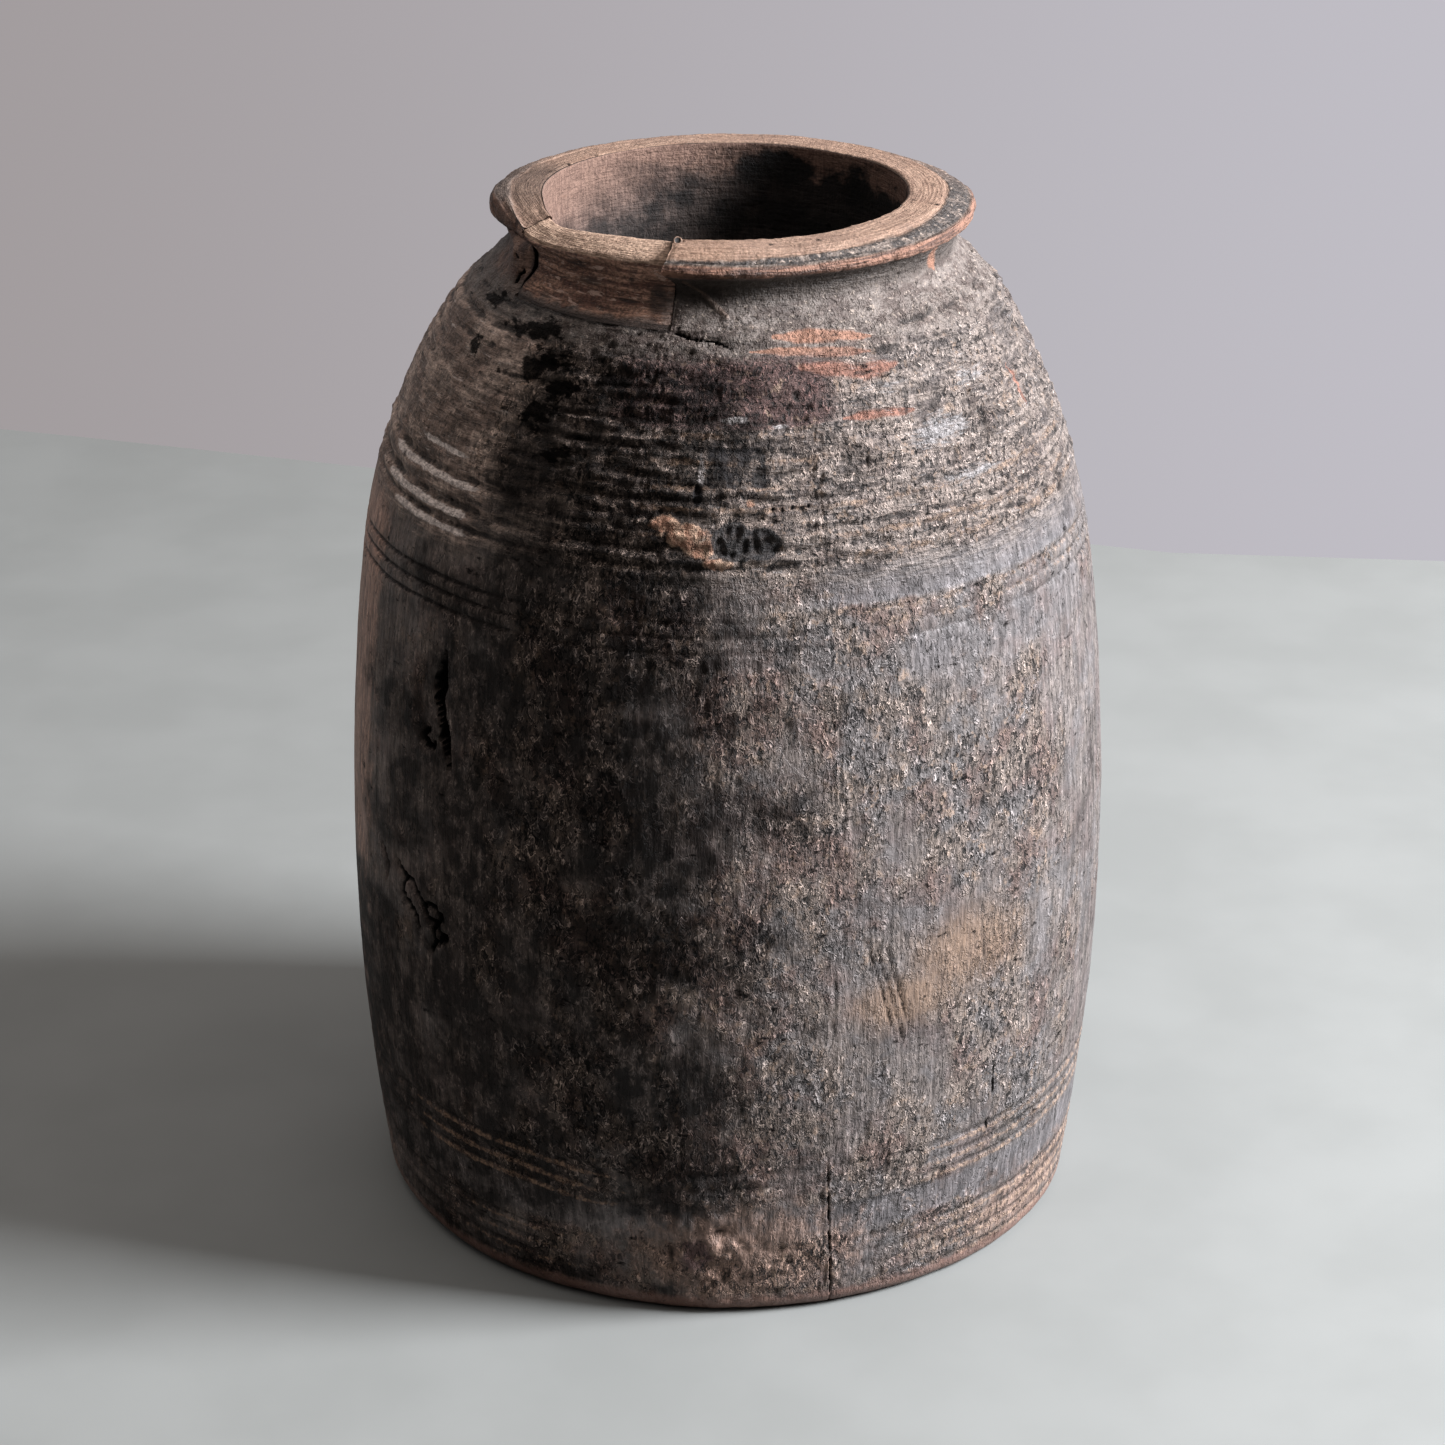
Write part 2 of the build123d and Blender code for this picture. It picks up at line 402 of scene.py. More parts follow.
# Splits and cracks are paths of (angle, height).
SPLIT = [(-47, 189.5), (-47.6, 183), (-47.9, 176), (-46.6, 168), (-45.3, 158)]
SPLIT_WIDTH = [(0, 0.5), (0.15, 1.6), (0.35, 2.9), (0.5, 2.1), (0.65, 1.7), (0.8, 2.1), (1, 0.7)]
DRYING_CHECK = [(15.1, 50), (15.6, 30), (16.2, 14), (16.7, 0)]
RIGHT_CRACK = [(44, 72), (43.8, 60), (43.2, 46)]
KNOT_CRACKS = [
    [(-59, 121.5), (-56.5, 117), (-57.5, 112), (-54, 108), (-52.5, 103.5)],
    [(-57, 119), (-54, 116.5), (-52, 112), (-49.5, 107.5), (-49, 102), (-50, 98)],
    [(-52, 112), (-49, 113.5), (-46.8, 110.5), (-49.5, 107.5), (-46, 105), (-49, 102)],
    [(-64, 122), (-61.5, 117), (-62.5, 113)],
    [(-49.5, 167), (-52, 163.5), (-49.5, 161), (-48.5, 163)],
]
LOBE_CRACKS = [
    [(-63, 285), (-64.2, 283.4), (-63.2, 281.6)],
    [(-67.5, 289.2), (-66.2, 288), (-66, 286.6)],
]
NECK_HAIRLINE = [(-11.7, 291.6), (-7.5, 288.4), (-1.2, 282.7)]
NECK_CRACK = [(-14, 279.6), (-9.2, 278.2), (-3.7, 277.6), (0.5, 276.4)]
# Every crack with its half width and depth.
CRACKS = [(DRYING_CHECK, 0.16, 1.3), (RIGHT_CRACK, 0.14, 0.5), (NECK_CRACK, 0.28, 1)]
CRACKS += [(crack, 0.9, 2) for crack in KNOT_CRACKS]
CRACKS += [(crack, 0.5, 1) for crack in LOBE_CRACKS]
SCRATCHES = [[(20.2, 118), (25, 87)], [(21.6, 117), (26.2, 86)], [(23.2, 115), (27.4, 88)]]
# Small holes: place, size and depth.
HOLES = [((-50.6, 161), (0.7, 1.1), 1.5)]
for place in ((7.5, 239), (9, 238.7), (10.6, 239.2), (12, 238.8), (13.2, 239.4)):
    HOLES.append((place, (0.45, 0.75), 1))
# Spots, as (angle, height) and half sizes.
TAN_KNOT = [
    ((-9.6, 235.2), (3, 2.2)), ((-6.4, 232.6), (3.4, 3.8)), ((-3.9, 229.4), (2, 2.8)),
    ((-1.2, 225.8), (2.8, 1.5)),
]
BLACK_KNOT = [((1.2, 231), (3.2, 4.6)), ((5.4, 230.6), (2.8, 3.8)), ((-4.9, 242.5), (0.7, 2.6))]
PITCH_SPOTS = [
    ((-36.8, 270), (4.5, 4.4)),
    ((-33, 263), (4, 3)),
    ((-37.6, 257.5), (4.5, 3.4)),
    ((-31, 249), (4, 2.2)),
    ((-43.4, 275), (6, 2.4)),
    ((-41.5, 266.5), (3.5, 2.6)),
    ((-22, 267.5), (3.4, 2)),
    ((-50.5, 274), (4, 2)),
    ((-64, 277), (3, 2)),
    ((-60.6, 268), (2.6, 2.2)),
]
# Streaks of bare salmon-coloured wood under the rim, each a path of (angle, height) and its half width.
SALMON_STREAKS = [
    ([(9, 278.6), (20, 278.2), (31, 276.6)], 1.6),
    ([(4, 275.6), (16, 274.9), (30, 273.5)], 1),
    ([(14, 271.8), (22, 270.4), (27, 269), (35, 269.8)], 2),
    ([(21.5, 259.1), (29, 258.9), (35.5, 258.2)], 1.3),
    ([(59.5, 293), (61, 286)], 2.2),
    ([(65.8, 260), (66.7, 249)], 1.1),
]
# Painted highlights, chalky lines in the grooves at the left: height, first and last angle, and level.
HIGHLIGHT_LINES = [(234.9, -74, -46, 1.3), (227.5, -74, -47, 1.4), (222.8, -68, -46, 1.2), (242, -64, -50, 0.9)]
# Chalky dust and painted highlights: place, size and level.
CHALK_AND_HIGHLIGHT_SPOTS = [
    ((31, 264.5), (6, 2), 0.5),
    ((40, 252), (8, 4.5), 0.75),
    ((45, 240), (9, 2.5), 0.6),
    ((52, 262), (7, 3), 0.5),
    ((1.6, 260.3), (3, 0.9), 0.9),
    ((9.6, 258.6), (2, 0.8), 0.9),
    ((-4.3, 248), (0.6, 5), 0.9),
]
# The flange's level and inner radius by angle.
FLANGE_LEVEL = [(-120, 0.25), (-100, 0.5), (-20, 1), (90, 1), (125, 0.6), (150, 0.25)]
FLANGE_FROM = [(-40, 61.2), (-16, 64), (6, 63.6), (30, 61.6), (60, 61.2)]
# How the rim warped at the sides, and how its ring groove is filled, by angle.
LIP_THICKENING = [(-180, 0.3), (-100, 0.8), (-80, 0.8), (-60, 0.2), (-20, 0), (100, 0), (180, 0.3)]
LIP_NARROWING = [
    (-180, 0.4), (-100, 0.7), (-80, 0.7), (-40, 0.2), (-20, 0), (25, 0), (70, 0.7), (100, 0.8),
    (180, 0.4),
]
GROOVE_NARROWING = [(0, 0), (30, 0.4), (70, 1.6), (110, 1.6), (150, 0.4), (180, 0)]
RIM_GROOVE_FILL = [(-100, 1), (-70, 0.8), (-20, 0.9), (8, 0.9), (26, 0.1), (48, 0), (75, 0.8), (135, 1)]


def strength(angle, values):
    """A groove's strength round the pot from its values at the left, front, right and back."""
    left, front, right, back = values
    points = [(-120, back), (-92, left), (-46, left), (-32, front), (8, front), (24, right)]
    return by_angle(angle, points + [(80, right), (120, back)])


class Surface:
    """Places on the turned surface, with the wear and the colour masks gathered so far."""

    def __init__(self, angle, r, z, outside):
        self.angle, self.r, self.z, self.outside = angle, r, z, outside
        self.place = to_place(angle, r, z)
        self.body = outside * (1 - ease(z, 262, 280))
        self.wall = outside * ease(z, 2, 8)
        self.ragged = self.noise(1.4, 1.6, 53, 2)
        self.shift = np.zeros_like(z)
        self.deep_shade = np.zeros_like(z)
        self.dirt_and_shade = np.zeros_like(z)
        self.masks = {}

    def noise(self, across, up, seed, octaves=1):
        return noise(self.place, across, up, seed, octaves)

    def round_noise(self, across, seed, octaves, height=0):
        """Noise that is the same at every height."""
        return noise((self.place[0], self.place[1], 0 * self.z + height), across, 1, seed, octaves)

    def around(self, points):
        return by_angle(self.angle, points)

    def sector(self, low, high, soft):
        return between(turn(self.angle), low, high, soft)

    def band(self, low, high, soft):
        return between(self.z, low, high, soft)

    def spot(self, at, size):
        return spot(self.angle, self.z, at, size)

    def spots(self, places):
        return np.maximum.reduce([self.spot(at, size) for at, size in places])

    def path(self, points):
        return path_distance(self.angle, self.z, self.r, points)

    # Paints shade into the deep places.
    def blacken(self, values):
        self.deep_shade = np.maximum(self.deep_shade, values)


def wear_shape(s):
    """The pot dried out of round, and its surface is uneven."""
    s.shift += 0.45 * np.cos(2 * np.radians(s.angle - 30)) * s.body
    s.shift += 0.6 * s.noise(55, 90, 11) * s.outside
    s.shift += 0.28 * s.noise(15, 30, 13, 2) * s.outside


def wear_crust(s):
    """A crumbly crust with worm tracks, pits and flakes, smoother where the wood is slate grey."""
    rough = s.around(ROUGH_LEVEL) * (0.75 + 0.75 * s.noise(22, 34, 17, 2))
    slate = s.band(213.5, 223.5, 1.6) * between(s.angle, 14, 74, 6)
    slate += 0.5 * s.band(190, 206, 5) * between(s.angle, 22, 70, 8)
    slate += s.band(25.5, 36, 2) * s.around(SLATE_LEVEL)
    s.crumble = s.band(223, 281, 3) * s.around(CRUMBLE_LEVEL)
    rough = rough * (1 - 0.75 * unit(slate)) + 0.35 * s.crumble + 0.12 * s.band(238, 262, 3)
    rough = unit(rough) * s.wall * (1 - 0.6 * ease(s.z, 279, 284))
    worm = bell(s.noise(1.7, 4.2, 23, 2), 0.22)
    pits = ease(s.noise(1.9, 4, 29), 0.25, 0.65) * ease(s.noise(9, 14, 31), -0.15, 0.35)
    s.shift += rough * (0.32 * (worm - 0.4) - 0.55 * pits)
    s.shift += 0.3 * rough * ease(s.noise(6, 9, 37, 3), 0, 0.25) * s.outside
    # broken horizontal terraces on the shoulder
    s.shift += 0.9 * s.crumble * ease(s.noise(13, 2.3, 41, 2), -0.2, 0.3) * s.outside
    s.masks["rough"] = rough
    s.masks["slate"] = unit(slate) * s.wall
    s.masks["cavity"] = unit(pits * rough)


def wear_grooves(s):
    """Turned grooves with raised crests, and the scored lines, all patchy with wear."""
    turned = s.outside * (1 - ease(s.z, 278.5, 281))
    s.wander = 0.5 * s.round_noise(28, 43, 2)
    crumbly = s.noise(2.6, 2, 45, 2) * (0.4 + 1.2 * s.crumble)
    for number, (height, half, depth, values) in enumerate(GROOVES):
        patchy = 0.7 + 1.1 * s.round_noise(9, 47, 3, 9 * number)
        level = strength(s.angle, values) * np.clip(patchy, 0, 1.25)
        at = s.z - height - s.wander - 0.5 * crumbly
        line = bell(at, half) * level * turned
        crest = bell(at + 1.9 * half, 0.8 * half) * level * turned
        s.shift += -depth * line + 0.35 * depth * crest * (0.6 + crumbly)
        # the grooves darker: dirt and painted shade
        s.dirt_and_shade = np.maximum(s.dirt_and_shade, 0.85 * line)
    offset = s.around(SCORE_WANDER) + 0.4 * s.wander
    score = np.zeros_like(s.z)
    for height in SCORE_LINES:
        line = bell(s.z - height - offset + 0.35 * s.ragged, 0.62)
        score = np.maximum(score, line * s.around(SCORE_DEPTH) * np.clip(0.95 + 0.7 * s.ragged, 0, 1.2))
    s.shift -= 1.1 * score * s.body
    s.score = score * s.body


def wear_ledges(s):
    """Grooves near the foot, and the tan edges of worn ledges there and on the shoulder."""
    level = s.around(LOW_GROOVE_LEVEL)
    ledge = np.zeros_like(s.z)
    low, foot = (LOW_GROOVES, LOW_GROOVE_DROP, TAN_LOW_EDGE), (FOOT_GROOVES, [(0, 0)], TAN_FOOT_EDGE)
    for grooves, drop, edge in (low, foot):
        for height, half, depth in grooves:
            at = s.z - height - s.around(drop) - 0.6 * s.wander
            line = level * bell(at, half)
            s.shift -= depth * line * s.wall
            ledge = np.maximum(ledge, bell(at + 1.7 * half, 0.8) * s.around(edge))
            # the grooves near the foot darker: dirt and painted shade
            s.dirt_and_shade = np.maximum(s.dirt_and_shade, 0.7 * line)
    for height, level, wave, half, (low, high, soft) in SHOULDER_LEDGES:
        line = bell(s.z - height - wave * s.wander, half) * between(s.angle, low, high, soft)
        ledge = np.maximum(ledge, level * line)
    broken = np.where(s.z > 200, np.clip(0.75 + 1.3 * s.noise(9, 3, 57, 3), 0, 1.1), 1)
    s.masks["ledge"] = unit(ledge * broken) * s.wall


def wear_cracks(s):
    """The split, the drying cracks, scratches and small holes, with painted shade inside them."""
    near, share = s.path(SPLIT)
    width = by_height(share, SPLIT_WIDTH) * (1 + 0.35 * s.ragged)
    s.shift -= 4.6 * (1 - ease(near, width * 0.7, width + 0.15)) * s.outside
    s.shift -= 0.4 * bell(near, 4.5) * s.outside
    s.blacken(1 - ease(near, width, width + 0.45))
    for points, width, depth in CRACKS:
        near, share = s.path(points)
        taper = ease(share, -0.02, 0.12) * (1 - ease(share, 0.93, 1.02) * (points is not DRYING_CHECK))
        line = (1 - ease(near + 0.45 * s.ragged, width * 0.5, width * 1.6)) * taper
        s.shift -= depth * line * s.outside
        s.blacken(line)
    for points in SCRATCHES:
        line = (1 - ease(s.path(points)[0], 0.3, 1.1)) * unit(0.8 + 0.6 * s.ragged)
        s.shift -= 0.6 * line * s.outside
        s.blacken(0.62 * line)
    for at, size, depth in HOLES:
        hole = s.spot(at, size)
        s.shift -= depth * hole * s.outside
        s.blacken(hole)
    s.shift -= s.spot((-77.6, 119.5), (5, 7)) * s.outside


def wear_knots(s):
    """The knot under the shoulder, the burl above the foot and the small plate beside the knot."""
    tan_knot = s.spots(TAN_KNOT)
    black_knot = s.spots(BLACK_KNOT)
    s.shift += 0.9 * ease(tan_knot, 0.2, 0.6)
    s.shift -= 1.3 * ease(black_knot, 0.25, 0.6) * (0.7 + 0.8 * s.noise(1.6, 9, 59))
    heart = s.spot((-4.6, 21), (2.8, 6))
    s.shift += 2.8 * s.spot((-4, 24), (9, 17)) * s.noise(5.5, 7, 61, 3) + 0.8 * heart
    burl_hollows = np.maximum(s.spot((-8.6, 20), (0.8, 4.5)), s.spot((-1.2, 29), (1.6, 1.3)))
    s.shift -= 1.2 * burl_hollows
    # painted shade in the burl's hollows
    s.blacken(0.6 * burl_hollows)
    plate = s.band(244.2, 254, 0.6) * s.sector(-3.4, 6.6, 0.5) * s.outside
    s.shift -= 0.35 * plate
    s.masks["tan"] = 1.25 * tan_knot + s.spot((4, 240.6), (0.9, 1.4))
    s.masks["black"] = unit(1.2 * ease(black_knot, 0.12, 0.5) + 0.62 * plate)
    s.masks["heart"] = heart * s.outside


def wear_neck(s):
    """The neck's ledge, hollow and hairline, its bulge beside the open wedge, and its grain."""
    hairline = (1 - ease(s.path(NECK_HAIRLINE)[0], 0.25, 0.9)) * s.outside
    hollow = s.spot((-8.5, 288), (6.5, 3.4)) * s.outside
    bump = s.spot((4.5, 280.5), (1.5, 1.3))
    s.shift += 0.5 * hairline - 0.9 * hollow + 0.9 * bump * s.outside
    s.shift -= 0.45 * bell(s.z - 281.6, 0.8) * s.sector(4, 120, 6) * s.outside
    s.shift += 2.4 * s.spot((-68, 287.5), (5.5, 4)) * s.outside
    neck = s.outside * s.band(274, 293.5, 2)
    s.shift += neck * 0.25 * s.noise(3, 1.6, 67, 2)
    s.masks["tan"] = unit(s.masks["tan"] + 0.8 * bump + 0.9 * hairline)
    s.masks["hollow"] = unit(1.1 * hollow - hairline)
    s.masks["neck"] = neck


def wear_rim(s):
    """The ring's top, flange and lip, and the seat for the small pin."""
    s.shift -= pin_seat(s.angle, s.r) * s.outside * ease(s.z, 296, 298)
    top = s.outside * ease(s.z, 294, 297)
    s.shift += top * (0.16 * s.noise(2.2, 1.5, 71, 2) + 0.3 * s.noise(12, 9, 73))
    lip = s.outside * s.band(293.4, 297.4, 0.8) * ease(s.r, 65, 67.5)
    s.shift += lip * (0.35 * s.noise(7, 4, 79, 2) - 0.4 * ease(s.noise(5, 5, 83), 0.3, 0.6))
    groove = bell(s.r - 65.2, 0.6) * s.sector(-15, 34, 6) * top
    s.shift -= 0.5 * groove
    # the ring groove darker: dirt and painted shade
    s.dirt_and_shade = np.maximum(s.dirt_and_shade, 0.75 * groove)
    s.masks["top"] = top * (1 - ease(s.r, 66.4, 67.4))
    flange_edge = ease(s.r - s.around(FLANGE_FROM) + 0.8 * s.wave[0], 0, 1)
    s.masks["flange"] = s.masks["top"] * flange_edge * s.around(FLANGE_LEVEL)
    s.masks["lip"] = lip
    s.masks["neck"] = s.masks["neck"] * (1 - lip)


def stain(s):
    """Masks for the soot and painted shade, pitch, salmon streaks, chalky dust, painted highlights and
    sheen, painted light on the left edge, and other patches of colour.
    """
    pitch = [spot(s.angle + 3 * s.wave[0], s.z + 2.2 * s.wave[1], at, size) for at, size in PITCH_SPOTS]
    # Soot and painted shade: lifted at the left shoulder and the front foot, strong on the lower left body.
    clean_and_lit = 0.75 * s.sector(-90, -40, 7) * ease(s.z, 206, 222)
    clean_and_lit = np.maximum(clean_and_lit, 0.9 * s.spot((-7, 18), (21, 19)))
    soot_and_shade = np.maximum(s.around(SOOT_AND_SHADE_LEVEL) * (1 - clean_and_lit), 0.9 * s.sector(-84, -50, 6) * s.band(20, 110, 14))
    salmon = np.zeros_like(s.z)
    for points, half in SALMON_STREAKS:
        near, share = s.path(points)
        taper = 0.35 + 0.65 * ease(share, 0, 0.3) * (1 - ease(share, 0.8, 1))
        salmon = np.maximum(salmon, bell(near, half * taper))
    # Painted light: the body's left edge lighter, most on its upper part.
    edge = s.sector(-112, -69, 6) * s.body * (0.35 + 0.65 * ease(s.z, 90, 130))
    warm = np.maximum(s.spot((2, 20), (18, 19)), 0.8 * s.spot((56, 13), (24, 13)))
    chalk_and_highlight = np.zeros_like(s.z)
    for height, low, high, level in HIGHLIGHT_LINES:
        line = bell(s.z - height - s.wander, 0.9) * s.sector(low, high, 3)
        chalk_and_highlight = np.maximum(chalk_and_highlight, level * line)
    for at, size, level in CHALK_AND_HIGHLIGHT_SPOTS:
        chalk_and_highlight = np.maximum(chalk_and_highlight, level * s.spot(at, size))
    stains = {
        "pitch": np.maximum.reduce(pitch),
        "soot_and_shade": soot_and_shade,
        "salmon": salmon,
        "maroon": s.band(258, 275, 2.5) * s.sector(-22, 20, 8),
        # the left shoulder's pale dust, and its painted sheen of light from above
        "dust_and_sheen": s.sector(-112, -44, 8) * s.band(221, 276, 6),
        "edge": edge,
        "warm": np.maximum(warm, edge),
        "ochre": s.spots([((38, 108), (12, 13)), ((27, 98), (10, 9))]),
        "chalk_and_highlight": chalk_and_highlight,
        "foot": 1 - ease(s.z, 3, 9),
    }
    for name, values in stains.items():
        s.masks[name] = values * s.outside
    s.masks["aged"] = s.sector(-118, -77, 9)


def wear_inside(s):
    inner = 1 - s.outside
    s.shift += inner * (0.5 * s.noise(30, 40, 89) + 0.15 * s.noise(5, 9, 91, 2))
    s.masks["inside"] = inner


def vessel_surface(angle, r, z, outside):
    """How far the worn surface stands from the turned one in mm, and the masks that its colours follow."""
    s = Surface(angle, r, z, outside)
    s.wave = (s.noise(5, 5, 97, 3), s.noise(5, 4, 99, 3))
    wear_shape(s)
    wear_crust(s)
    wear_grooves(s)
    wear_ledges(s)
    wear_cracks(s)
    wear_knots(s)
    wear_neck(s)
    wear_rim(s)
    wear_inside(s)
    stain(s)
    s.masks["deep_shade"] = unit(s.deep_shade * s.wall)
    s.masks["dirt_and_shade"] = unit(np.maximum(s.dirt_and_shade * s.outside, s.score))
    return s.shift, s.masks


# ------------------------------------------------------------------ meshes
def rim_offset(r, z):
    """The rim sits a little to the right of the body, and its bore a little to the left."""
    return (-0.4 + 1.9 * ease(r, 50.9, 62)) * ease(z, 258, 284)


def rim_warp(angle, r, z, outside):
    """How far the rim rises: the mouth's edge dips at the left and the lip is thicker at the sides."""
    side = by_angle(angle, LIP_THICKENING) * outside
    rise = by_angle(angle, MOUTH_RISE) * ease(z, 291, 298)
    rise = rise + 2 * side * ease(r, 59, 66) * ease(z, 294.6, 296.6)
    rise = rise + by_angle(angle, RIM_GROOVE_FILL) * outside * bell(r - 62.1, 0.9) * ease(z, 296, 297)
    return rise - 1.8 * side * ease(r, 63, 66.5) * between(z, 291.8, 295.2, 0.8)


def rim_narrowing(angle, r, z, outside):
    """How far the rim's surface lies inside its turned radius at the sides."""
    lip = by_angle(angle, LIP_NARROWING) * ease(r, 63, 66) * ease(z, 289, 293)
    groove = by_angle(angle, GROOVE_NARROWING) * bell(r - 62, 2.2) * ease(z, 296, 297.5)
    return outside * (lip + groove)


def pin_seat(angle, r):
    """Depth of the seat round the small pin."""
    from_pin = np.hypot(np.radians(turn(angle, PEG_ANGLE)) * r, r - PEG_PATH_RADIUS)
    return 0.7 * (1 - ease(from_pin, 1.2, 1.9))


def to_metres(angle, r, z):
    x, y, z = to_place(angle, r, z)
    return np.stack([x + rim_offset(r, z), y, z], axis=-1) * MM


def mesh_grid(rows, columns):
    """The angle, radius and height at every crossing of rows of (radius, height) with columns of angles."""
    angle, r = np.meshgrid(columns, rows[:, 0])
    return angle, r, np.repeat(rows[:, 1:], len(columns), axis=1)


def quads(row, next_row, columns):
    """Faces between two rows, whose first vertices are given, for pairs of neighbouring columns."""
    return [(row + j, row + k, next_row + k, next_row + j) for j, k in columns]


def ring_columns(count):
    return [(j, (j + 1) % count) for j in range(count)]


def build_mesh(name, vertices, faces, flat_faces, masks):
    """A smooth mesh of faces, with flat_faces flat, and one value per vertex for each mask."""
    used = np.zeros(len(vertices), bool)
    for group in faces + flat_faces:
        used[np.asarray(group, int)] = True
    renumber = np.cumsum(used) - 1
    corners = [tuple(int(renumber[i]) for i in face) for face in faces + flat_faces]
    mesh = bpy.data.meshes.new(name)
    mesh.from_pydata(vertices[used].tolist(), [], corners)
    mesh.polygons.foreach_set("use_smooth", [True] * len(faces) + [False] * len(flat_faces))
    for mask, values in masks.items():
        attribute = mesh.attributes.new(mask, "FLOAT", "POINT")
        attribute.data.foreach_set("value", unit(values.reshape(-1)[used]).astype(np.float32))
    mesh.validate()
    mesh.update()
    piece = bpy.data.objects.new(name, mesh)
    bpy.context.scene.collection.objects.link(piece)
    return piece


def vessel_rows():
    """Rows from under the foot to the hollow's floor, and which are the notch's first and last."""
    lower, rim, hollow = vessel_section()
    rows = spaced(lower, outside_gap)
    notch_start = len(rows) - 1
    rows = np.vstack([rows, spaced(rim, rim_gap)[1:]])
    notch_end = len(rows) - 1
    return np.vstack([rows, spaced(hollow, hollow_gap)[1:]]), notch_start, notch_end


def seam_shift(angle, z):
    """How far the columns beside the notch move, in degrees, to follow its ragged seams."""
    z = np.maximum(z, NOTCH_FLOOR_Z)
    right = by_height(z, RIGHT_SEAM) - NOTCH_RIGHT
    left = by_height(z, LEFT_SEAM) - NOTCH_LEFT - 0.5 * by_height(z, WEDGE)
    return right * bell(turn(angle, NOTCH_RIGHT), 7) + left * bell(turn(angle, NOTCH_LEFT), 13)


def wear_notch(angle, r, z, outside, shift, masks):
    """The notch's edges are worn round and dark, and the neck beside the wedge is a browner lobe."""
    above = ease(z, NOTCH_FLOOR_Z - 1, NOTCH_FLOOR_Z + 1.5)
    low_side = 1 - ease(z, 292, 295)
    for home, reach, depth in ((NOTCH_RIGHT, 0.9, 0.3), (NOTCH_LEFT, 2.6, 0.15 + low_side)):
        shift -= depth * bell(np.radians(turn(angle, home)) * r, reach) * above
    hem = bell(z - NOTCH_FLOOR_Z + 0.1, 0.55) * between(turn(angle), NOTCH_LEFT, NOTCH_RIGHT, 0.4) * outside
    shift -= 0.3 * hem
    # dirt and painted shade along the notch's floor
    masks["dirt_and_shade"] = np.maximum(masks["dirt_and_shade"], 0.9 * hem)
    lobe = between(turn(angle), -84, -58, 5) * ease(z, 279, 284) * (1 - ease(z, 297.5, 298.5))
    masks["lobe"] = lobe * outside


def notch_floor(vertices, near, far):
    """Points and faces of the notch's floor, and the number of each of its points, row by row."""
    index, extra = [near], []
    for step in range(1, NOTCH_STEPS):
        share = step / NOTCH_STEPS
        index.append([len(vertices) + len(extra) + n for n in range(len(near))])
        extra += list(vertices[near] * (1 - share) + vertices[far] * share)
    index.append(far)
    faces = []
    for row, after in zip(index, index[1:]):
        faces += [(row[n], row[n + 1], after[n + 1], after[n]) for n in range(len(near) - 1)]
    return extra, faces, index


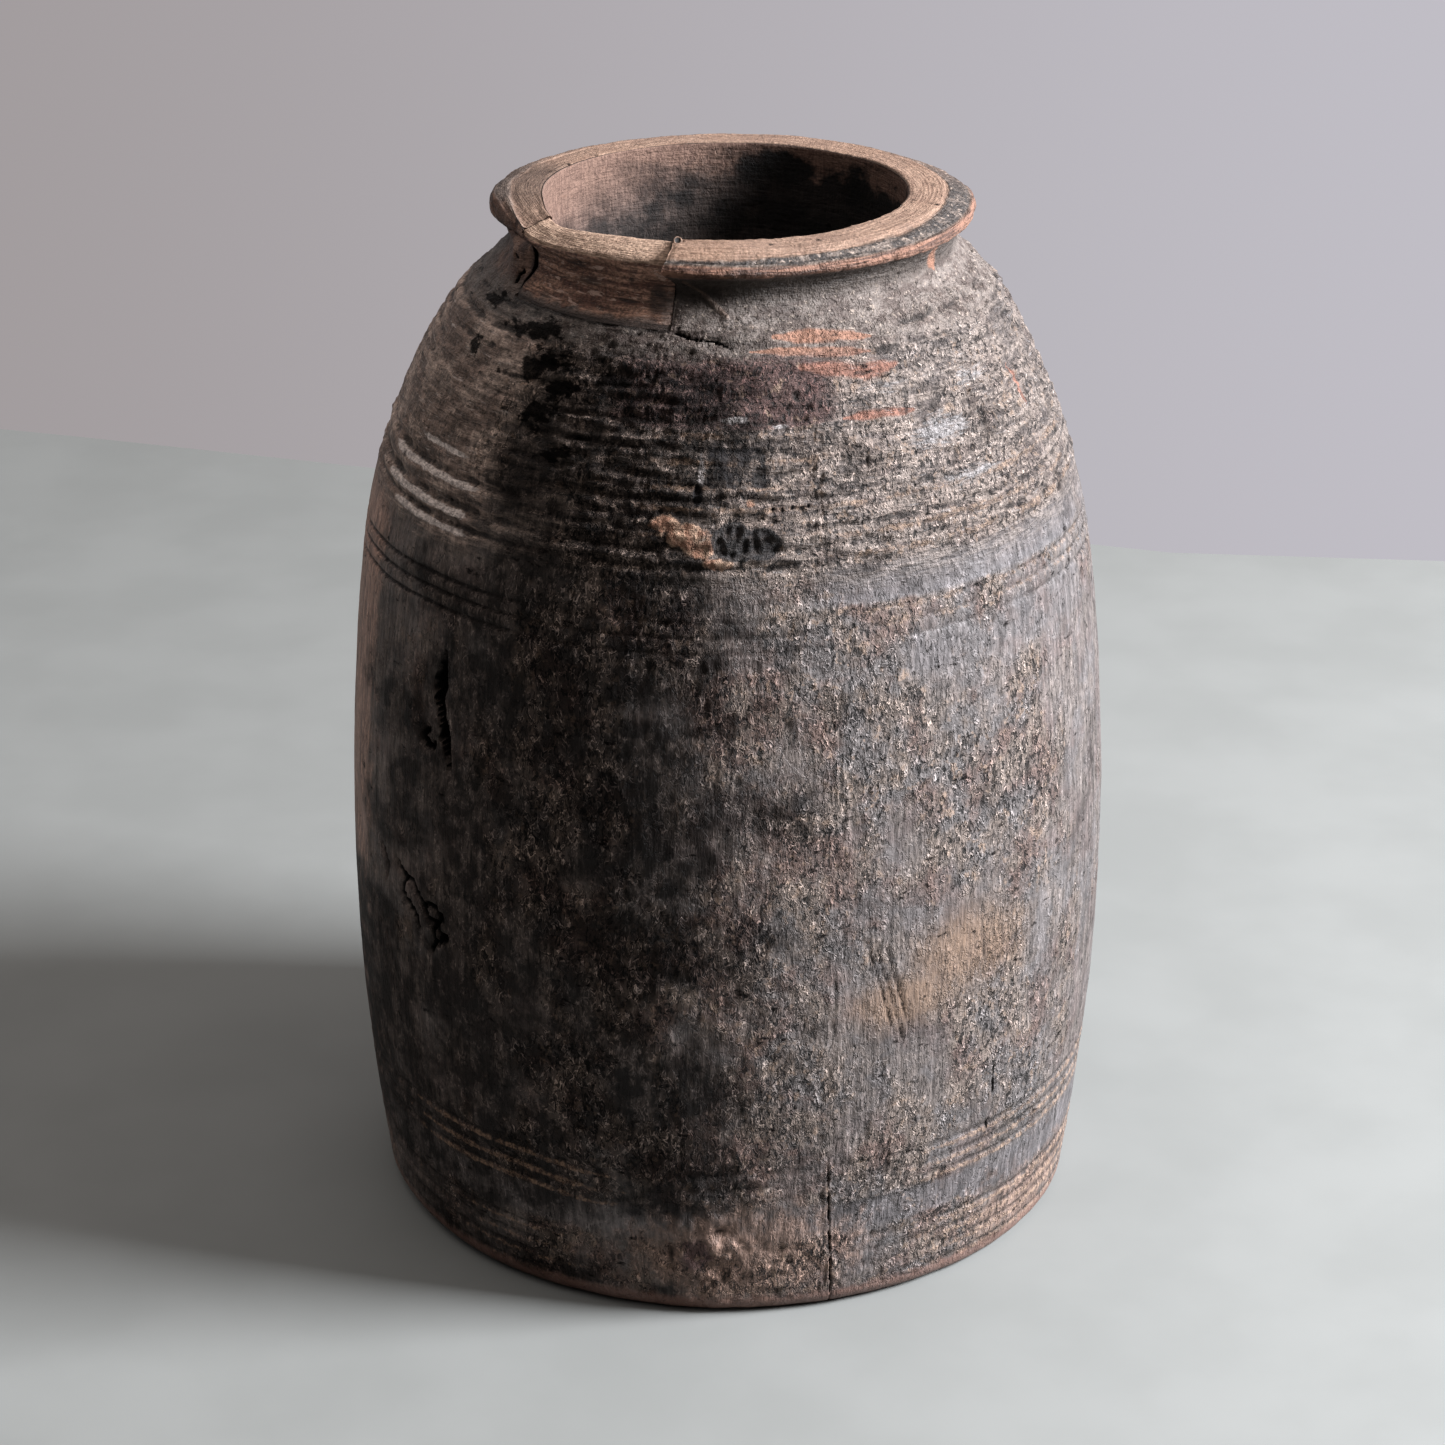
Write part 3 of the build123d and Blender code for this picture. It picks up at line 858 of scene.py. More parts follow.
def make_vessel():
    rows, notch_start, notch_end = vessel_rows()
    facing_out, facing_up = row_directions(rows)
    rim_columns = column_angles(NOTCH_RIGHT, NOTCH_LEFT + 360, 0.56)
    notch_columns = column_angles(NOTCH_LEFT + 360, NOTCH_RIGHT + 360, 0.56)[1:-1]
    columns = np.concatenate([rim_columns, notch_columns])
    last_rim = len(rim_columns) - 1
    count = len(columns)

    angle, r0, z0 = mesh_grid(rows, columns)
    mouth = notch_start + int(np.argmax(rows[notch_start:, 0] < THROAT_RADIUS + 0.5))
    outside = np.repeat((np.arange(len(rows)) <= mouth)[:, None], count, axis=1).astype(float)
    surface_angle = angle + seam_shift(angle, z0) * ease(z0, NOTCH_FLOOR_Z - 6, NOTCH_FLOOR_Z)
    shift, masks = vessel_surface(surface_angle, r0, z0, outside)
    wear_notch(angle, r0, z0, outside, shift, masks)

    # beside the wedge the rim is as worn as the let-in piece
    worn_r, worn_z = nearest_on(rows, INSERT_SECTION)
    worn = ease(surface_angle - 360, -92, -71) * ease(z0, 290, 293) * ease(r0, 51, 53.5) * outside
    r = r0 + worn * (worn_r[:, None] - r0)
    z = z0 + worn * (worn_z[:, None] - z0)
    r = r + facing_out[:, None] * shift - rim_narrowing(surface_angle, r0, z0, outside)
    z = np.maximum(z + facing_up[:, None] * shift, 0) + rim_warp(surface_angle, r0, z0, outside)
    vertices = to_metres(surface_angle, r, z).reshape(-1, 3)

    faces = []
    pairs = ring_columns(count)
    for i in range(len(rows) - 1):
        kept = pairs[:last_rim] if notch_start <= i < notch_end else pairs
        faces += quads(i * count, (i + 1) * count, kept)
    bridge = list(range(last_rim, count)) + [0]
    near = [notch_start * count + j for j in bridge]
    far = [notch_end * count + j for j in bridge]
    extra, floor_faces, index = notch_floor(vertices, near, far)
    faces += floor_faces

    # the notch's end walls, each sunk a little inside its border
    total = len(vertices)
    ends, walls = [], []
    for n, j, flip in ((0, last_rim, False), (len(bridge) - 1, 0, True)):
        around = range(notch_start, notch_end + 1)
        floor = [index[step][n] for step in range(NOTCH_STEPS - 1, 0, -1)]
        loop = [i * count + j for i in around] + floor
        wall = [total + len(extra) + i for i in range(len(loop))]
        for i in around:
            wall_r = r[i, j] - WALL_INSET * facing_out[i]
            wall_z = max(z[i, j] - WALL_INSET * facing_up[i], NOTCH_FLOOR_Z + WALL_INSET)
            extra.append(to_metres(surface_angle[i, j], wall_r, wall_z))
        extra += [extra[i - total] + np.array([0, 0, WALL_INSET * MM]) for i in floor]
        walls += wall
        order = -1 if flip else 1
        for a, b in ring_columns(len(loop)):
            faces.append((loop[a], loop[b], wall[b], wall[a])[::order])
        ends.append(tuple(wall[::order]))

    under, over = total + len(extra), total + len(extra) + 1
    extra += [np.array([0, 0, MM]), np.array([0, 0, BASE_THICKNESS * MM])]
    last = (len(rows) - 1) * count
    for j, k in pairs:
        faces.append((under, k, j))
        faces.append((last + j, last + k, over))
    vertices = np.vstack([vertices, np.array(extra)])
    for name, values in masks.items():
        masks[name] = np.append(values, np.full(len(extra), name == "inside", float))
    # painted shade on the end walls low in the narrow wedge; the walls higher up take the lobe's colour
    high = ease(vertices[walls, 2] / MM, 291.5, 293.5)
    masks["deep_shade"][walls] = 1 - high
    masks["lobe"][walls] = high
    masks["inside"][walls] = 0
    return build_mesh("pot_vessel", vertices, faces, ends, masks)


def insert_surface(angle, r, z, outer, top):
    """Worn surface of the mended piece: drawn-out streaks outside, fibres on the bevelled top."""
    place = to_place(angle, r, z)
    streak = noise(place, 16, 1.3, 101, 2)
    shift = outer * (0.22 * streak + 0.3 * noise(place, 9, 7, 103, 2))
    shift += top * (0.25 * noise(place, 7, 3, 107, 2) + 0.14 * noise(place, 1.4, 1.4, 109, 2))
    shift -= 0.35 * ease(noise(place, 22, 2.6, 113), 0.15, 0.4) * outer
    # darker where the streaks sink and at the foot: dirt and painted shade
    dirt_and_shade = unit(0.8 * ease(-streak, 0.15, 0.5) * outer + bell(z - NOTCH_FLOOR_Z, 1))
    return shift, dirt_and_shade


def make_insert():
    line = INSERT_SECTION + [(THROAT_RADIUS, 296), (THROAT_RADIUS, NOTCH_FLOOR_Z + 0.25)]
    ring = spaced(soften(resample(line, 0.2), 4), insert_gap)
    bottom = np.linspace(ring[-1], ring[0], 14)[1:-1]
    facing_out, facing_up = row_directions(ring)
    facing_out = np.append(facing_out, np.zeros(len(bottom)))
    facing_up = np.append(facing_up, -np.ones(len(bottom)))
    rows = np.vstack([ring, bottom])
    count, width = len(rows), 96

    share, r0, z0 = mesh_grid(rows, np.linspace(0, 1, width))
    left = by_height(z0, LEFT_SEAM) + 0.5 * by_height(z0, WEDGE)
    right = by_height(z0, RIGHT_SEAM) - 0.25
    angle = left + (right - left) * share
    index = np.repeat(np.arange(count)[:, None], width, axis=1)
    mouth = int(np.argmax(ring[:, 0] < THROAT_RADIUS + 0.5))
    outer = ((index < mouth) & (z0 < 296.2)).astype(float)
    top = ((index <= mouth) & (z0 >= 295.4)).astype(float)
    shift, dirt_and_shade = insert_surface(angle, r0, z0, outer, top)
    shift -= pin_seat(angle, r0) * top
    edge = np.minimum(share, 1 - share) * 49
    shift -= 0.3 * bell(edge, 0.8) * (outer + 0.3 * top)
    # darker along the seams and in two hollows: dirt and painted shade
    dirt_and_shade = dirt_and_shade + np.where(share > 0.5, 0.25 + 0.4 * top, 0.9 * (1 - top)) * bell(edge, 0.7)
    hollows = spot(angle, z0, (-18.5, 286), (2.6, 4.2)) + 0.7 * spot(angle, z0, (-38, 288), (5, 1.6))
    dirt_and_shade = dirt_and_shade + hollows * outer
    foot = 1 - ease(z0 + 1.4 * noise((angle, angle, z0), 5, 4, 139, 2), 280.2, 282.2)
    right_end = 0.7 * ease(share, 0.88, 0.98) * (1 - ease(z0, 286, 291))
    masks = {"top": top, "dirt_and_shade": dirt_and_shade, "grey": outer * np.maximum(foot, right_end)}

    r = r0 + facing_out[:, None] * shift
    z = z0 + facing_up[:, None] * shift + rim_warp(angle, r0, z0, 0 * outer)
    vertices = to_metres(angle, r, np.maximum(z, NOTCH_FLOOR_Z - 0.4)).reshape(-1, 3)
    faces = []
    for i, k in ring_columns(count):
        faces += quads(i * width, k * width, ring_columns(width)[:-1])
    ends = [tuple(i * width for i in range(count))]
    ends.append(tuple(i * width + width - 1 for i in reversed(range(count))))
    return build_mesh("pot_rim_insert", vertices, faces, ends, masks)


def make_peg():
    """The small pin at the seam: a split round with a dark heart, set just proud of the rim."""
    low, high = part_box("seam_peg")
    bottom_z = low.z / MM
    top_z = high.z / MM + PEG_PROUD
    section = [
        (0.9, bottom_z), (1.1, bottom_z + 1.5), (1.25, top_z - 1), (1.25, top_z - 0.25), (1.05, top_z),
        (0.8, top_z), (0.6, top_z - 0.4), (0.12, top_z - 0.6),
    ]
    rows = spaced(soften(resample(section, 0.08), 1), lambda r, z: np.where(z < top_z - 1.5, 1.5, 0.1))
    count = 36
    angle, r, z = mesh_grid(rows, np.arange(count) * 10)
    place = to_place(angle, r, z)
    upper = ease(z, top_z - 1.3, top_z - 0.5)
    r = r * (1 + 0.06 * noise(place, 1, 6, 131))
    x, y, z = to_place(angle, r, z + 0.12 * noise(place, 0.6, 0.6, 137) * upper)
    z = z + 0.75 * y * upper
    centre_x = (low.x + high.x) / 2 / MM + rim_offset(PEG_PATH_RADIUS, top_z)
    centre_y = (low.y + high.y) / 2 / MM
    vertices = np.stack([centre_x + x, centre_y + y, z], axis=-1).reshape(-1, 3) * MM
    faces = []
    for i in range(len(rows) - 1):
        faces += quads(i * count, (i + 1) * count, ring_columns(count))
    last = (len(rows) - 1) * count
    ends = [tuple(reversed(range(count))), tuple(range(last, last + count))]
    return build_mesh("pot_seam_peg", vertices, faces, ends, {"heart": (1 - ease(r, 0.65, 0.95)) * upper})


# ------------------------------------------------------------------ materials
class Graph:
    """Short ways to add and join shader nodes."""

    def __init__(self, tree):
        self.tree = tree
        self.tree.nodes.clear()

    def node(self, kind, inputs=(), **settings):
        made = self.tree.nodes.new(kind)
        for key, value in settings.items():
            setattr(made, key, value)
        for key, value in dict(inputs).items():
            self.put(made.inputs[key], value)
        return made

    def put(self, socket, value):
        """Links or sets a socket. A name stands for the piece's mask of that name."""
        if isinstance(value, str):
            value = self.node("ShaderNodeAttribute", attribute_name=value).outputs["Fac"]
        if isinstance(value, bpy.types.NodeSocket):
            self.tree.links.new(value, socket)
        elif isinstance(value, tuple) and socket.type == "RGBA":
            socket.default_value = (*value, 1)
        else:
            socket.default_value = value

    def math(self, operation, *values):
        return self.node("ShaderNodeMath", enumerate(values), operation=operation).outputs[0]

    def vector_math(self, operation, inputs):
        return self.node("ShaderNodeVectorMath", inputs, operation=operation).outputs[0]

    def add(self, *values):
        return functools.reduce(lambda total, value: self.math("ADD", total, value), values)

    def mul(self, *values):
        return functools.reduce(lambda total, value: self.math("MULTIPLY", total, value), values)

    def flip(self, value):
        return self.math("SUBTRACT", 1, value)

    def centred(self, value):
        return self.math("SUBTRACT", value, 0.5)

    def levels(self, value, low, high, to_low=0, to_high=1):
        inputs = {"Value": value, "From Min": low, "From Max": high, "To Min": to_low, "To Max": to_high}
        return self.node("ShaderNodeMapRange", inputs, interpolation_type="SMOOTHSTEP").outputs["Result"]

    def near_half(self, noise, low, high):
        """1 where a noise is about a half, in thin lines."""
        return self.flip(self.levels(self.math("ABSOLUTE", self.centred(noise)), low, high))

    def axes(self, kind="Object"):
        place = self.node("ShaderNodeTexCoord").outputs[kind]
        return self.node("ShaderNodeSeparateXYZ", {0: place}).outputs

    def texture(self, place, detail, roughness, distortion=0):
        inputs = {"Vector": place, "Scale": 1, "Detail": detail, "Roughness": roughness}
        return self.node("ShaderNodeTexNoise", inputs | {"Distortion": distortion}).outputs[0]

    def noise(self, across, up, detail=2, roughness=0.5, distortion=0, offset=0):
        """Noise with blobs that are across mm wide and up mm tall."""
        here = self.node("ShaderNodeTexCoord").outputs["Object"]
        scale = (1 / (across * MM), 1 / (across * MM), 1 / (up * MM))
        inputs = {"Vector": here, "Scale": scale, "Location": (offset, 2 * offset, 3 * offset)}
        place = self.node("ShaderNodeMapping", inputs).outputs[0]
        return self.texture(place, detail, roughness, distortion)

    def ring_noise(self, around, thin, detail, roughness, offset):
        """Noise drawn out round the pot, around mm long and thin mm across."""
        x, y, z = self.axes()
        radius = self.math("SQRT", self.add(self.math("POWER", x, 2), self.math("POWER", y, 2)))
        across = self.mul(self.math("SUBTRACT", radius, z), 1 / (thin * MM))
        inputs = {
            "X": self.mul(x, 1 / (around * MM)),
            "Y": self.mul(y, 1 / (around * MM)),
            "Z": self.add(across, offset),
        }
        return self.texture(self.node("ShaderNodeCombineXYZ", inputs).outputs[0], detail, roughness)

    def edged(self, mask, noise, reach, soft):
        """A mask whose border is broken up by noise."""
        value = self.math("MULTIPLY_ADD", self.centred(noise), reach, mask)
        return self.levels(value, 0.5 - soft, 0.5 + soft)

    def mix(self, amount, first, second):
        return self.node("ShaderNodeMix", {0: amount, 6: first, 7: second}, data_type="RGBA").outputs[2]

    def blend(self, amount, first, second):
        return self.node("ShaderNodeMix", {0: amount, 2: first, 3: second}, data_type="FLOAT").outputs[0]

    def ramp(self, value, low, high, first, second):
        """From the first colour to the second as the value goes from low to high."""
        return self.mix(self.levels(value, low, high), first, second)

    def lay(self, under, over, mask, amount):
        """Covers a colour with another where the mask is, by an amount."""
        return self.mix(self.mul(mask, amount), under, over)

    def shade(self, colour, amount):
        """The colour times a number."""
        return self.vector_math("SCALE", {0: colour, "Scale": amount})

    def mottle(self, colour, value, low, high, darker, lighter):
        """The colour shaded from darker to lighter as the value goes from low to high."""
        return self.shade(colour, self.levels(value, low, high, darker, lighter))

    def finish(self, colour, roughness, height, specular, tone=(1, 1, 1)):
        bump = self.node("ShaderNodeBump", {"Strength": 1, "Distance": MM, "Height": height})
        inputs = {
            "Base Color": self.vector_math("MULTIPLY", {0: colour, 1: tone}),
            "Roughness": roughness,
            "Normal": bump.outputs[0],
            "Specular IOR Level": specular,
        }
        surface = self.node("ShaderNodeBsdfPrincipled", inputs)
        self.node("ShaderNodeOutputMaterial", {"Surface": surface.outputs[0]})


def new_material(name):
    material = bpy.data.materials.new(name)
    material.use_nodes = True
    return material, Graph(material.node_tree)


def aged_wood():
    material, g = new_material("aged_wood")
    x, _, z = g.axes()
    sloping = g.levels(z, 0.214, 0.226)
    zones = g.noise(24, 20, 6, 0.62)
    patches = g.noise(10, 12, 5, 0.62, offset=2)
    flecks = g.noise(2.4, 3.4, 4, 0.62, offset=5)
    chips = g.noise(4.6, 6.4, 4, 0.62, offset=7)
    fibre = g.noise(0.7, 5.5, 3, 0.58)
    terraces = g.noise(10, 1.5, 5, 0.66, offset=21)
    crumbs = g.noise(1.3, 1, 3, 0.6, offset=23)
    ridge_noise = g.noise(1.9, 3.7, 2, 0.5, 0.8, offset=9)
    crust_noise = g.noise(17, 24, 5, 0.58, offset=2.5)
    crumb = g.levels(g.math("MULTIPLY_ADD", "rough", 0.42, crust_noise), 0.66, 0.84)
    crusty = g.levels(g.math("MULTIPLY_ADD", "rough", 0.16, chips), 0.46, 0.64)
    crusty = g.mul(crusty, g.blend(crumb, 0.3, 1), g.flip(g.mul(sloping, 0.3)))
    ridge = g.mul(g.near_half(ridge_noise, 0.008, 0.042), crusty)
    # a thin line beside each ridge, where its painted shadow goes
    beside = g.mul(g.levels(ridge_noise, 0.525, 0.545), g.levels(ridge_noise, 0.59, 0.565))
    beside = g.mul(beside, crusty)
    gaps = g.levels(g.noise(1.5, 2.6, 3, 0.58, 0.8, offset=11), 0.53, 0.62)
    gaps = g.mul(gaps, g.levels(g.math("MULTIPLY_ADD", "rough", 0.14, flecks), 0.48, 0.64))
    cracks = g.near_half(g.noise(4.2, 26, 4, 0.6, 0.4, offset=13), 0.002, 0.011)
    cracks = g.mul(cracks, g.levels(patches, 0.5, 0.58), g.flip(sloping))

    # brown to mauve and grey wood, darkened in ragged patches by soot and by painted shade on the front and
    # left
    colour = g.ramp(zones, 0.43, 0.57, (0.16, 0.114, 0.102), (0.158, 0.148, 0.15))
    colour = g.ramp(patches, 0.44, 0.6, colour, (0.232, 0.192, 0.17))
    colour = g.lay(colour, (0.125, 0.11, 0.108), g.levels(chips, 0.5, 0.62), 0.45)
    colour = g.lay(colour, (0.15, 0.141, 0.146), g.flip(crumb), 0.55)
    colour = g.lay(colour, (0.15, 0.146, 0.158), g.edged("slate", patches, 2.2, 0.3), 0.7)
    # The warm colour is lighter on the left edge: painted light.
    warm_colour = g.mix("edge", (0.33, 0.225, 0.182), (0.6, 0.42, 0.36))
    colour = g.lay(colour, warm_colour, g.edged("warm", chips, 1.6, 0.3), 0.7)
    band = g.ramp(terraces, 0.41, 0.58, (0.125, 0.105, 0.099), (0.35, 0.296, 0.268))
    colour = g.lay(colour, band, sloping, 0.75)
    # the left shoulder lighter: pale dust and a painted sheen of light from above
    dust_and_sheen = g.edged("dust_and_sheen", terraces, 1.6, 0.3)
    dust_and_sheen_colour = g.ramp(patches, 0.44, 0.58, (0.3, 0.235, 0.21), (0.6, 0.51, 0.47))
    dust_and_sheen_colour = g.mottle(dust_and_sheen_colour, terraces, 0.42, 0.58, 0.62, 1.2)
    colour = g.lay(colour, dust_and_sheen_colour, dust_and_sheen, 0.85)
    maroon = g.edged("maroon", terraces, 1, 0.25)
    colour = g.lay(colour, (0.088, 0.048, 0.045), maroon, 0.92)
    colour = g.lay(colour, (0.125, 0.078, 0.085), g.edged("heart", flecks, 1, 0.2), 0.8)
    colour = g.mottle(colour, fibre, 0.34, 0.66, 0.84, 1.16)
    streaks = g.levels(g.noise(1.7, 40, 3, 0.6, offset=37), 0.38, 0.62, 0.72, 1.26)
    colour = g.shade(colour, g.blend(g.math("MAXIMUM", crumb, sloping), streaks, 1))
    colour = g.mottle(colour, flecks, 0.34, 0.64, 0.78, 1.2)
    soot_and_shade = g.math("MULTIPLY_ADD", "soot_and_shade", 0.36, g.noise(26, 20, 6, 0.6, offset=15))
    soot_and_shade = g.levels(soot_and_shade, 0.58, 0.82)
    soot_and_shade_colour = g.mix(0.4, colour, (0.152, 0.134, 0.134))
    soot_and_shade_colour = g.mottle(soot_and_shade_colour, g.add(chips, patches), 0.94, 1.14, 0.08, 0.46)
    colour = g.lay(colour, soot_and_shade_colour, soot_and_shade, 0.92)

    # crumbly crust: light ridges, partly tan and partly painted highlight, painted shadow beside them, tan
    # crumbs, dark gaps of painted shadow
    # painted shadow beside the ridges
    colour = g.lay(colour, g.shade(colour, 0.22), beside, 0.8)
    # painted highlight on the ridges
    colour = g.mix(ridge, colour, g.shade(colour, g.blend(soot_and_shade, 2.9, 5.4)))
    tan_crumb = g.levels(g.noise(3, 3.4, 3, 0.6, offset=25), 0.58, 0.66)
    tan_crumb = g.mul(tan_crumb, crumb, g.flip(g.mul(soot_and_shade, 0.8)))
    colour = g.lay(colour, (0.42, 0.31, 0.24), tan_crumb, 0.6)
    # painted shadow in the gaps
    colour = g.lay(colour, g.shade(colour, 0.08), gaps, g.blend(crumb, 0.4, 0.95))
    pocks = g.mul(g.levels(crumbs, 0.56, 0.66), sloping, g.levels(terraces, 0.6, 0.46))
    colour = g.lay(colour, g.shade(colour, 0.2), pocks, 0.8)
    ledge_colour = g.ramp(crumbs, 0.42, 0.6, (0.17, 0.12, 0.098), (0.5, 0.36, 0.27))
    colour = g.lay(colour, ledge_colour, g.edged("ledge", flecks, 1.7, 0.2), g.blend(soot_and_shade, 0.65, 0.5))
    salmon = g.edged("salmon", g.noise(7, 1.3, 4, 0.65, offset=2), 0.9, 0.3)
    salmon_colour = g.mottle((0.385, 0.19, 0.142), flecks, 0.35, 0.65, 0.65, 1.2)
    colour = g.lay(colour, salmon_colour, salmon, 0.9)
    ochre = g.edged("ochre", g.noise(7, 10, 4, 0.6, offset=4), 0.6, 0.4)
    ochre_colour = g.ramp(fibre, 0.35, 0.65, (0.21, 0.148, 0.112), (0.335, 0.232, 0.168))
    colour = g.lay(colour, ochre_colour, ochre, 0.8)
    # painted highlights: chalky lines at the left, chalky spots, and glints on the shoulder, brighter where
    # the dust and sheen are
    chalk_and_highlight = g.edged("chalk_and_highlight", g.noise(5, 0.9, 4, 0.66, offset=27), 1.5, 0.2)
    glints = g.mul(sloping, g.levels(g.noise(8, 0.8, 4, 0.66, offset=29), 0.6, 0.68), g.flip(maroon))
    chalk_and_highlight = g.math("MAXIMUM", g.mul(chalk_and_highlight, 0.85), g.mul(glints, 0.45, g.flip(soot_and_shade)))
    chalk_and_highlight_colour = g.mix(dust_and_sheen, (0.44, 0.43, 0.445), (1.15, 1.13, 1.17))
    colour = g.mix(chalk_and_highlight, colour, g.mottle(chalk_and_highlight_colour, crumbs, 0.4, 0.6, 1.15, 0.6))
    tan_colour = g.ramp(flecks, 0.44, 0.6, (0.33, 0.19, 0.135), (0.7, 0.5, 0.38))
    colour = g.lay(colour, tan_colour, g.edged("tan", chips, 1.7, 0.15), 0.9)

    # painted light colour: browner at the left and greyer at the right, the tints of a warm fill and a cool
    # window
    tint = g.ramp(x, -0.08, 0.06, (1.08, 0.99, 0.93), (0.985, 1, 1.025))
    colour = g.vector_math("MULTIPLY", {0: colour, 1: tint})

    # neck, flange, lip and ring
    neck_colour = g.ramp(g.noise(6, 2.4, 5, 0.62), 0.4, 0.6, (0.105, 0.084, 0.078), (0.215, 0.19, 0.18))
    neck_colour = g.ramp(g.noise(1.2, 1.4, 3, 0.6, offset=31), 0.6, 0.66, neck_colour, (0.43, 0.37, 0.33))
    # painted light: the neck lighter towards the right, the window's side
    neck_colour = g.mottle(neck_colour, x, 0.005, 0.045, 1, 1.35)
    # painted shadow on the neck under the lip
    neck_colour = g.lay(neck_colour, (0.055, 0.044, 0.038), g.levels(z, 0.2845, 0.2885), 0.85)
    colour = g.lay(colour, neck_colour, "neck", 0.85)
    colour = g.mix(g.mul(g.edged("salmon", chips, 0.9, 0.25), "neck", 0.8), colour, (0.43, 0.225, 0.155))
    lip_noise = g.ring_noise(14, 1.4, 5, 0.62, offset=6)
    lip_colour = g.ramp(lip_noise, 0.4, 0.58, (0.13, 0.076, 0.061), (0.385, 0.215, 0.158))
    colour = g.mix("lip", colour, lip_colour)
    flange_colour = g.ramp(chips, 0.44, 0.62, (0.07, 0.062, 0.06), (0.215, 0.178, 0.16))
    grit = g.noise(1.5, 1.5, 3, 0.6, offset=33)
    flange_colour = g.ramp(grit, 0.57, 0.66, flange_colour, (0.42, 0.35, 0.31))
    flange_colour = g.ramp(crumbs, 0.55, 0.64, flange_colour, (0.03, 0.026, 0.026))
    ring_fibre = g.noise(0.9, 0.9, 4, 0.66, offset=8)
    ring_lines = g.ring_noise(9, 0.55, 4, 0.6, offset=10)
    ring_colour = g.ramp(ring_lines, 0.36, 0.6, (0.24, 0.15, 0.112), (0.43, 0.295, 0.225))
    ring_colour = g.mottle(ring_colour, ring_fibre, 0.36, 0.62, 0.72, 1.14)
    ring_patches = g.levels(g.noise(15, 15, 5, 0.62), 0.5, 0.66)
    ring_colour = g.lay(ring_colour, (0.19, 0.118, 0.09), ring_patches, 0.5)
    ring_colour = g.lay(ring_colour, g.shade(ring_colour, 0.32), "aged", 0.8)
    colour = g.mix("top", colour, ring_colour)
    colour = g.mix("flange", colour, flange_colour)
    lobe_colour = g.ramp(chips, 0.42, 0.62, (0.11, 0.058, 0.045), (0.37, 0.225, 0.172))
    lobe_colour = g.mottle(lobe_colour, flecks, 0.36, 0.64, 0.65, 1.25)
    colour = g.lay(colour, lobe_colour, "lobe", 0.85)

    # dirt and painted shade in the hollows, pitch spots, cracks, and painted shade deep in the cuts
    # painted shade in the pits
    colour = g.lay(colour, (0.018, 0.015, 0.014), "cavity", 0.8)
    colour = g.mix(g.mul(cracks, g.flip("inside"), g.flip("top"), 0.85), colour, (0.014, 0.012, 0.011))
    # dirt and painted shade in the grooves, scored lines and seams
    colour = g.lay(colour, (0.022, 0.018, 0.017), g.edged("dirt_and_shade", flecks, 1.3, 0.2), 0.8)
    colour = g.lay(colour, g.mottle((0.05, 0.042, 0.038), flecks, 0.36, 0.64, 0.4, 1.5), "hollow", 0.8)
    black = g.mottle((0.026, 0.025, 0.028), fibre, 0.3, 0.7, 0.35, 1.3)
    colour = g.lay(colour, black, g.edged("black", chips, 2, 0.2), 0.9)
    pitch = g.edged("pitch", g.noise(7, 3, 5, 0.68, offset=35), 3.2, 0.16)
    colour = g.lay(colour, (0.006, 0.005, 0.005), pitch, 0.95)
    # painted shade in the split, cracks, holes and the notch's lower end walls
    colour = g.ramp("deep_shade", 0.25, 0.7, colour, (0.004, 0.0035, 0.0035))
    colour = g.lay(colour, (0.3, 0.175, 0.145), g.edged("foot", chips, 0.9, 0.3), 0.6)

    # the hollow: bare tan wood by the mouth and at the left, grey further down, darkened towards the right
    # into painted shadow
    inner_noise = g.noise(15, 10, 5, 0.65, offset=12)
    depth = g.math("MULTIPLY_ADD", g.centred(inner_noise), 0.035, z)
    leaning = g.math("MULTIPLY_ADD", x, -0.35, depth)
    inner = g.ramp(inner_noise, 0.42, 0.62, (0.02, 0.015, 0.014), (0.11, 0.088, 0.082))
    # painted shadow: the inside darker towards the right, which faces away from the window
    inner = g.mottle(inner, x, -0.045, 0.03, 1, 0.15)
    inner = g.mottle(inner, fibre, 0.35, 0.65, 0.7, 1.3)
    bare = g.ramp(g.add(ring_fibre, fibre), 0.8, 1.2, (0.165, 0.102, 0.083), (0.275, 0.178, 0.143))
    # the bare wood reaches lower at the left, the lit side, down to the slanting edge of the rim's painted
    # shadow
    inner = g.ramp(leaning, 0.285, 0.312, inner, bare)
    inner = g.ramp(depth, 0.292, 0.298, inner, bare)
    colour = g.mix("inside", colour, inner)

